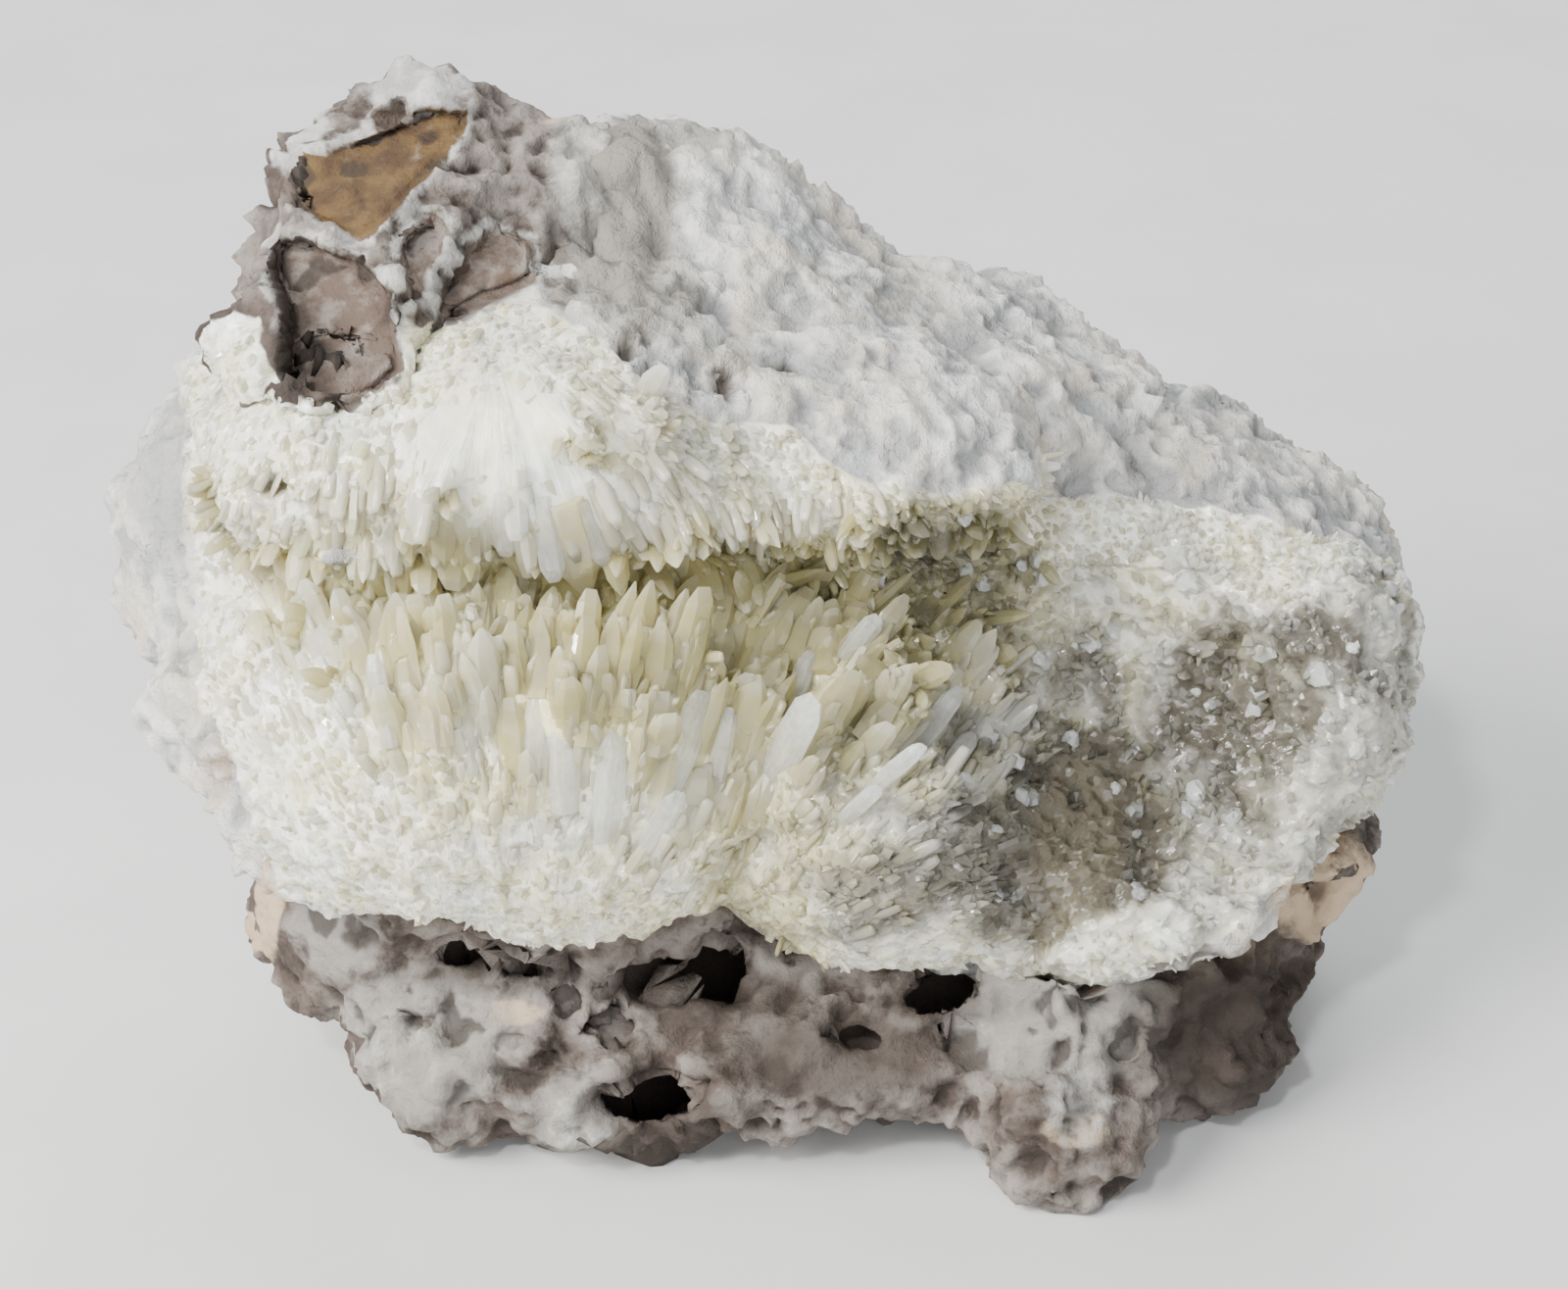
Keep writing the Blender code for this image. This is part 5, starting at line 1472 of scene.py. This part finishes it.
class ARAGONITE_OT_clear_crystals(bpy.types.Operator):
    """Places the single large clear crystals"""
    bl_idname = "aragonite.clear_crystals"
    bl_label = "Clear crystals"

    def execute(self, context):
        settings = settings_of(context)
        skin = bpy.data.objects.get("aragonite_skin")
        if skin is None:
            raise RuntimeError("make the aragonite first")
        tree = tree_of(skin.data)
        rng = random.Random(settings.seed)
        bm = bmesh.new()
        lines = []
        for crystal in CLEAR_CRYSTALS:
            aim = MIDDLE + (SIDE * crystal.across + RISE * crystal.up) * MM
            place, normal, _, _ = tree.ray_cast(Vector(EYE), Vector(aim - EYE).normalized())
            if place is None:
                raise RuntimeError("a clear crystal has no ground under it")
            turn = math.radians(crystal.lean)
            way = SIDE * math.sin(turn) + RISE * math.cos(turn)
            along = Vector(along_ground(way[None], np.array(normal)[None])[0])
            axis = (along * (1 - crystal.out) + normal * crystal.out).normalized()
            beside = axis.cross(normal).normalized()
            front = beside.cross(axis)
            corners = []
            for height, swell in ((-0.25, 0.75), (0.3, 1.0), (0.78, 0.92)):
                for corner in range(6):
                    angle = math.radians(60 * corner + rng.uniform(-6, 6))
                    out = (beside * math.cos(angle) * crystal.width + front * math.sin(angle) * crystal.thick) / 2
                    corners.append(place + (axis * height * crystal.length + out * swell) * MM)
            for end in (-0.2, 0.22):
                corners.append(place + (axis * crystal.length + beside * end * crystal.width) * MM)
            bmesh.ops.convex_hull(bm, input=[bm.verts.new(corner) for corner in corners])
            for corner in corners:
                reach = corner - place
                lines.append((reach.dot(beside), reach.dot(axis) * LINE_STRETCH, reach.dot(front)))
        bmesh.ops.recalc_face_normals(bm, faces=bm.faces)
        mesh = bpy.data.meshes.new("clear_crystals")
        bm.to_mesh(mesh)
        bm.free()
        store(mesh, "lines", np.array(lines))
        bevelled = new_object("clear_crystals", mesh)
        edges = bevelled.modifiers.new("edges", "BEVEL")
        edges.width = 0.00008
        edges.segments = 1
        edges.limit_method = "ANGLE"
        apply_modifiers(bevelled)
        bevelled.data.materials.append(clear_material(settings))
        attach(bevelled, "root")
        return {"FINISHED"}


def area_light(name, place, size, power, colour):
    """A soft light that faces the middle of the piece."""
    light = bpy.data.lights.new(name, "AREA")
    light.shape = "DISK"
    light.size = size
    light.energy = power
    light.color = colour
    thing = bpy.data.objects.new(name, light)
    thing.location = place
    thing.rotation_euler = (Vector(place) - Vector(MIDDLE)).to_track_quat("Z", "Y").to_euler()
    bpy.context.scene.collection.objects.link(thing)


class ARAGONITE_OT_stage(bpy.types.Operator):
    """Sets the floor, the soft lights and the camera of the photograph"""
    bl_idname = "aragonite.stage"
    bl_label = "Stage"

    def execute(self, context):
        settings = settings_of(context)
        bm = bmesh.new()
        bmesh.ops.create_grid(bm, x_segments=2, y_segments=2, size=3.0)
        mesh = bpy.data.meshes.new("floor")
        bm.to_mesh(mesh)
        bm.free()
        floor = new_object("floor", mesh)
        f = Finish("pale_floor")
        tone = f.mix(settings.floor_colour, [0.96 * value for value in settings.floor_colour],
                     f.noise(40, 3).between(0.4, 0.6))
        mesh.materials.append(f.finish(f.shader(base_color=tone, roughness=0.6, specular_ior_level=0.3)))
        area_light("main_light", (-0.48, -0.30, 0.46), 0.45, settings.key_power, (1.0, 0.985, 0.96))
        area_light("fill_light", (0.12, -0.62, 0.26), 0.5, settings.fill_power, (0.95, 0.97, 1.0))
        area_light("glint_light", (-0.16, -0.42, 0.56), 0.06, settings.fill_power * 1.1, (0.95, 0.98, 1.0))
        area_light("back_light", (0.05, 0.5, 0.5), 0.5, settings.fill_power * 1.7, (0.96, 0.98, 1.0))
        world = bpy.data.worlds.new("soft_sky")
        world.use_nodes = True
        sky = world.node_tree.nodes["Background"]
        sky.inputs["Color"].default_value = (0.94, 0.96, 1.0, 1.0)
        sky.inputs["Strength"].default_value = settings.sky_strength
        context.scene.world = world
        camera = bpy.data.objects.new("camera", bpy.data.cameras.new("camera"))
        context.scene.collection.objects.link(camera)
        camera.location = EYE
        camera.rotation_euler = Vector(BACK).to_track_quat("Z", "Y").to_euler()
        camera.data.sensor_width = SENSOR_WIDTH
        camera.data.lens = EYE_LENS
        camera.data.clip_start = 0.01
        camera.data.clip_end = 20.0
        context.scene.camera = camera
        return {"FINISHED"}


STEPS = (ARAGONITE_OT_host_rock, ARAGONITE_OT_aragonite, ARAGONITE_OT_crystals, ARAGONITE_OT_clear_crystals,
         ARAGONITE_OT_stage)


class ARAGONITE_PT_panel(bpy.types.Panel):
    """Lists the steps and their sizes and colours"""
    bl_idname = "ARAGONITE_PT_panel"
    bl_label = "Aragonite specimen"
    bl_space_type = "VIEW_3D"
    bl_region_type = "UI"
    bl_category = "Specimen"

    def draw(self, context):
        for step in STEPS:
            self.layout.operator(step.bl_idname)
        settings = settings_of(context)
        for name in AragoniteSettings.__annotations__:
            self.layout.prop(settings, name)


CLASSES = (AragoniteSettings, *STEPS, ARAGONITE_PT_panel)


def register():
    for item in CLASSES:
        bpy.utils.register_class(item)
    bpy.types.Scene.aragonite_specimen = PointerProperty(type=AragoniteSettings)


def unregister():
    del bpy.types.Scene.aragonite_specimen
    for item in reversed(CLASSES):
        bpy.utils.unregister_class(item)


def main():
    register()
    bpy.ops.aragonite.host_rock()
    bpy.ops.aragonite.aragonite()
    bpy.ops.aragonite.crystals()
    bpy.ops.aragonite.clear_crystals()
    bpy.ops.aragonite.stage()
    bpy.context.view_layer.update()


if __name__ == "__main__":
    main()
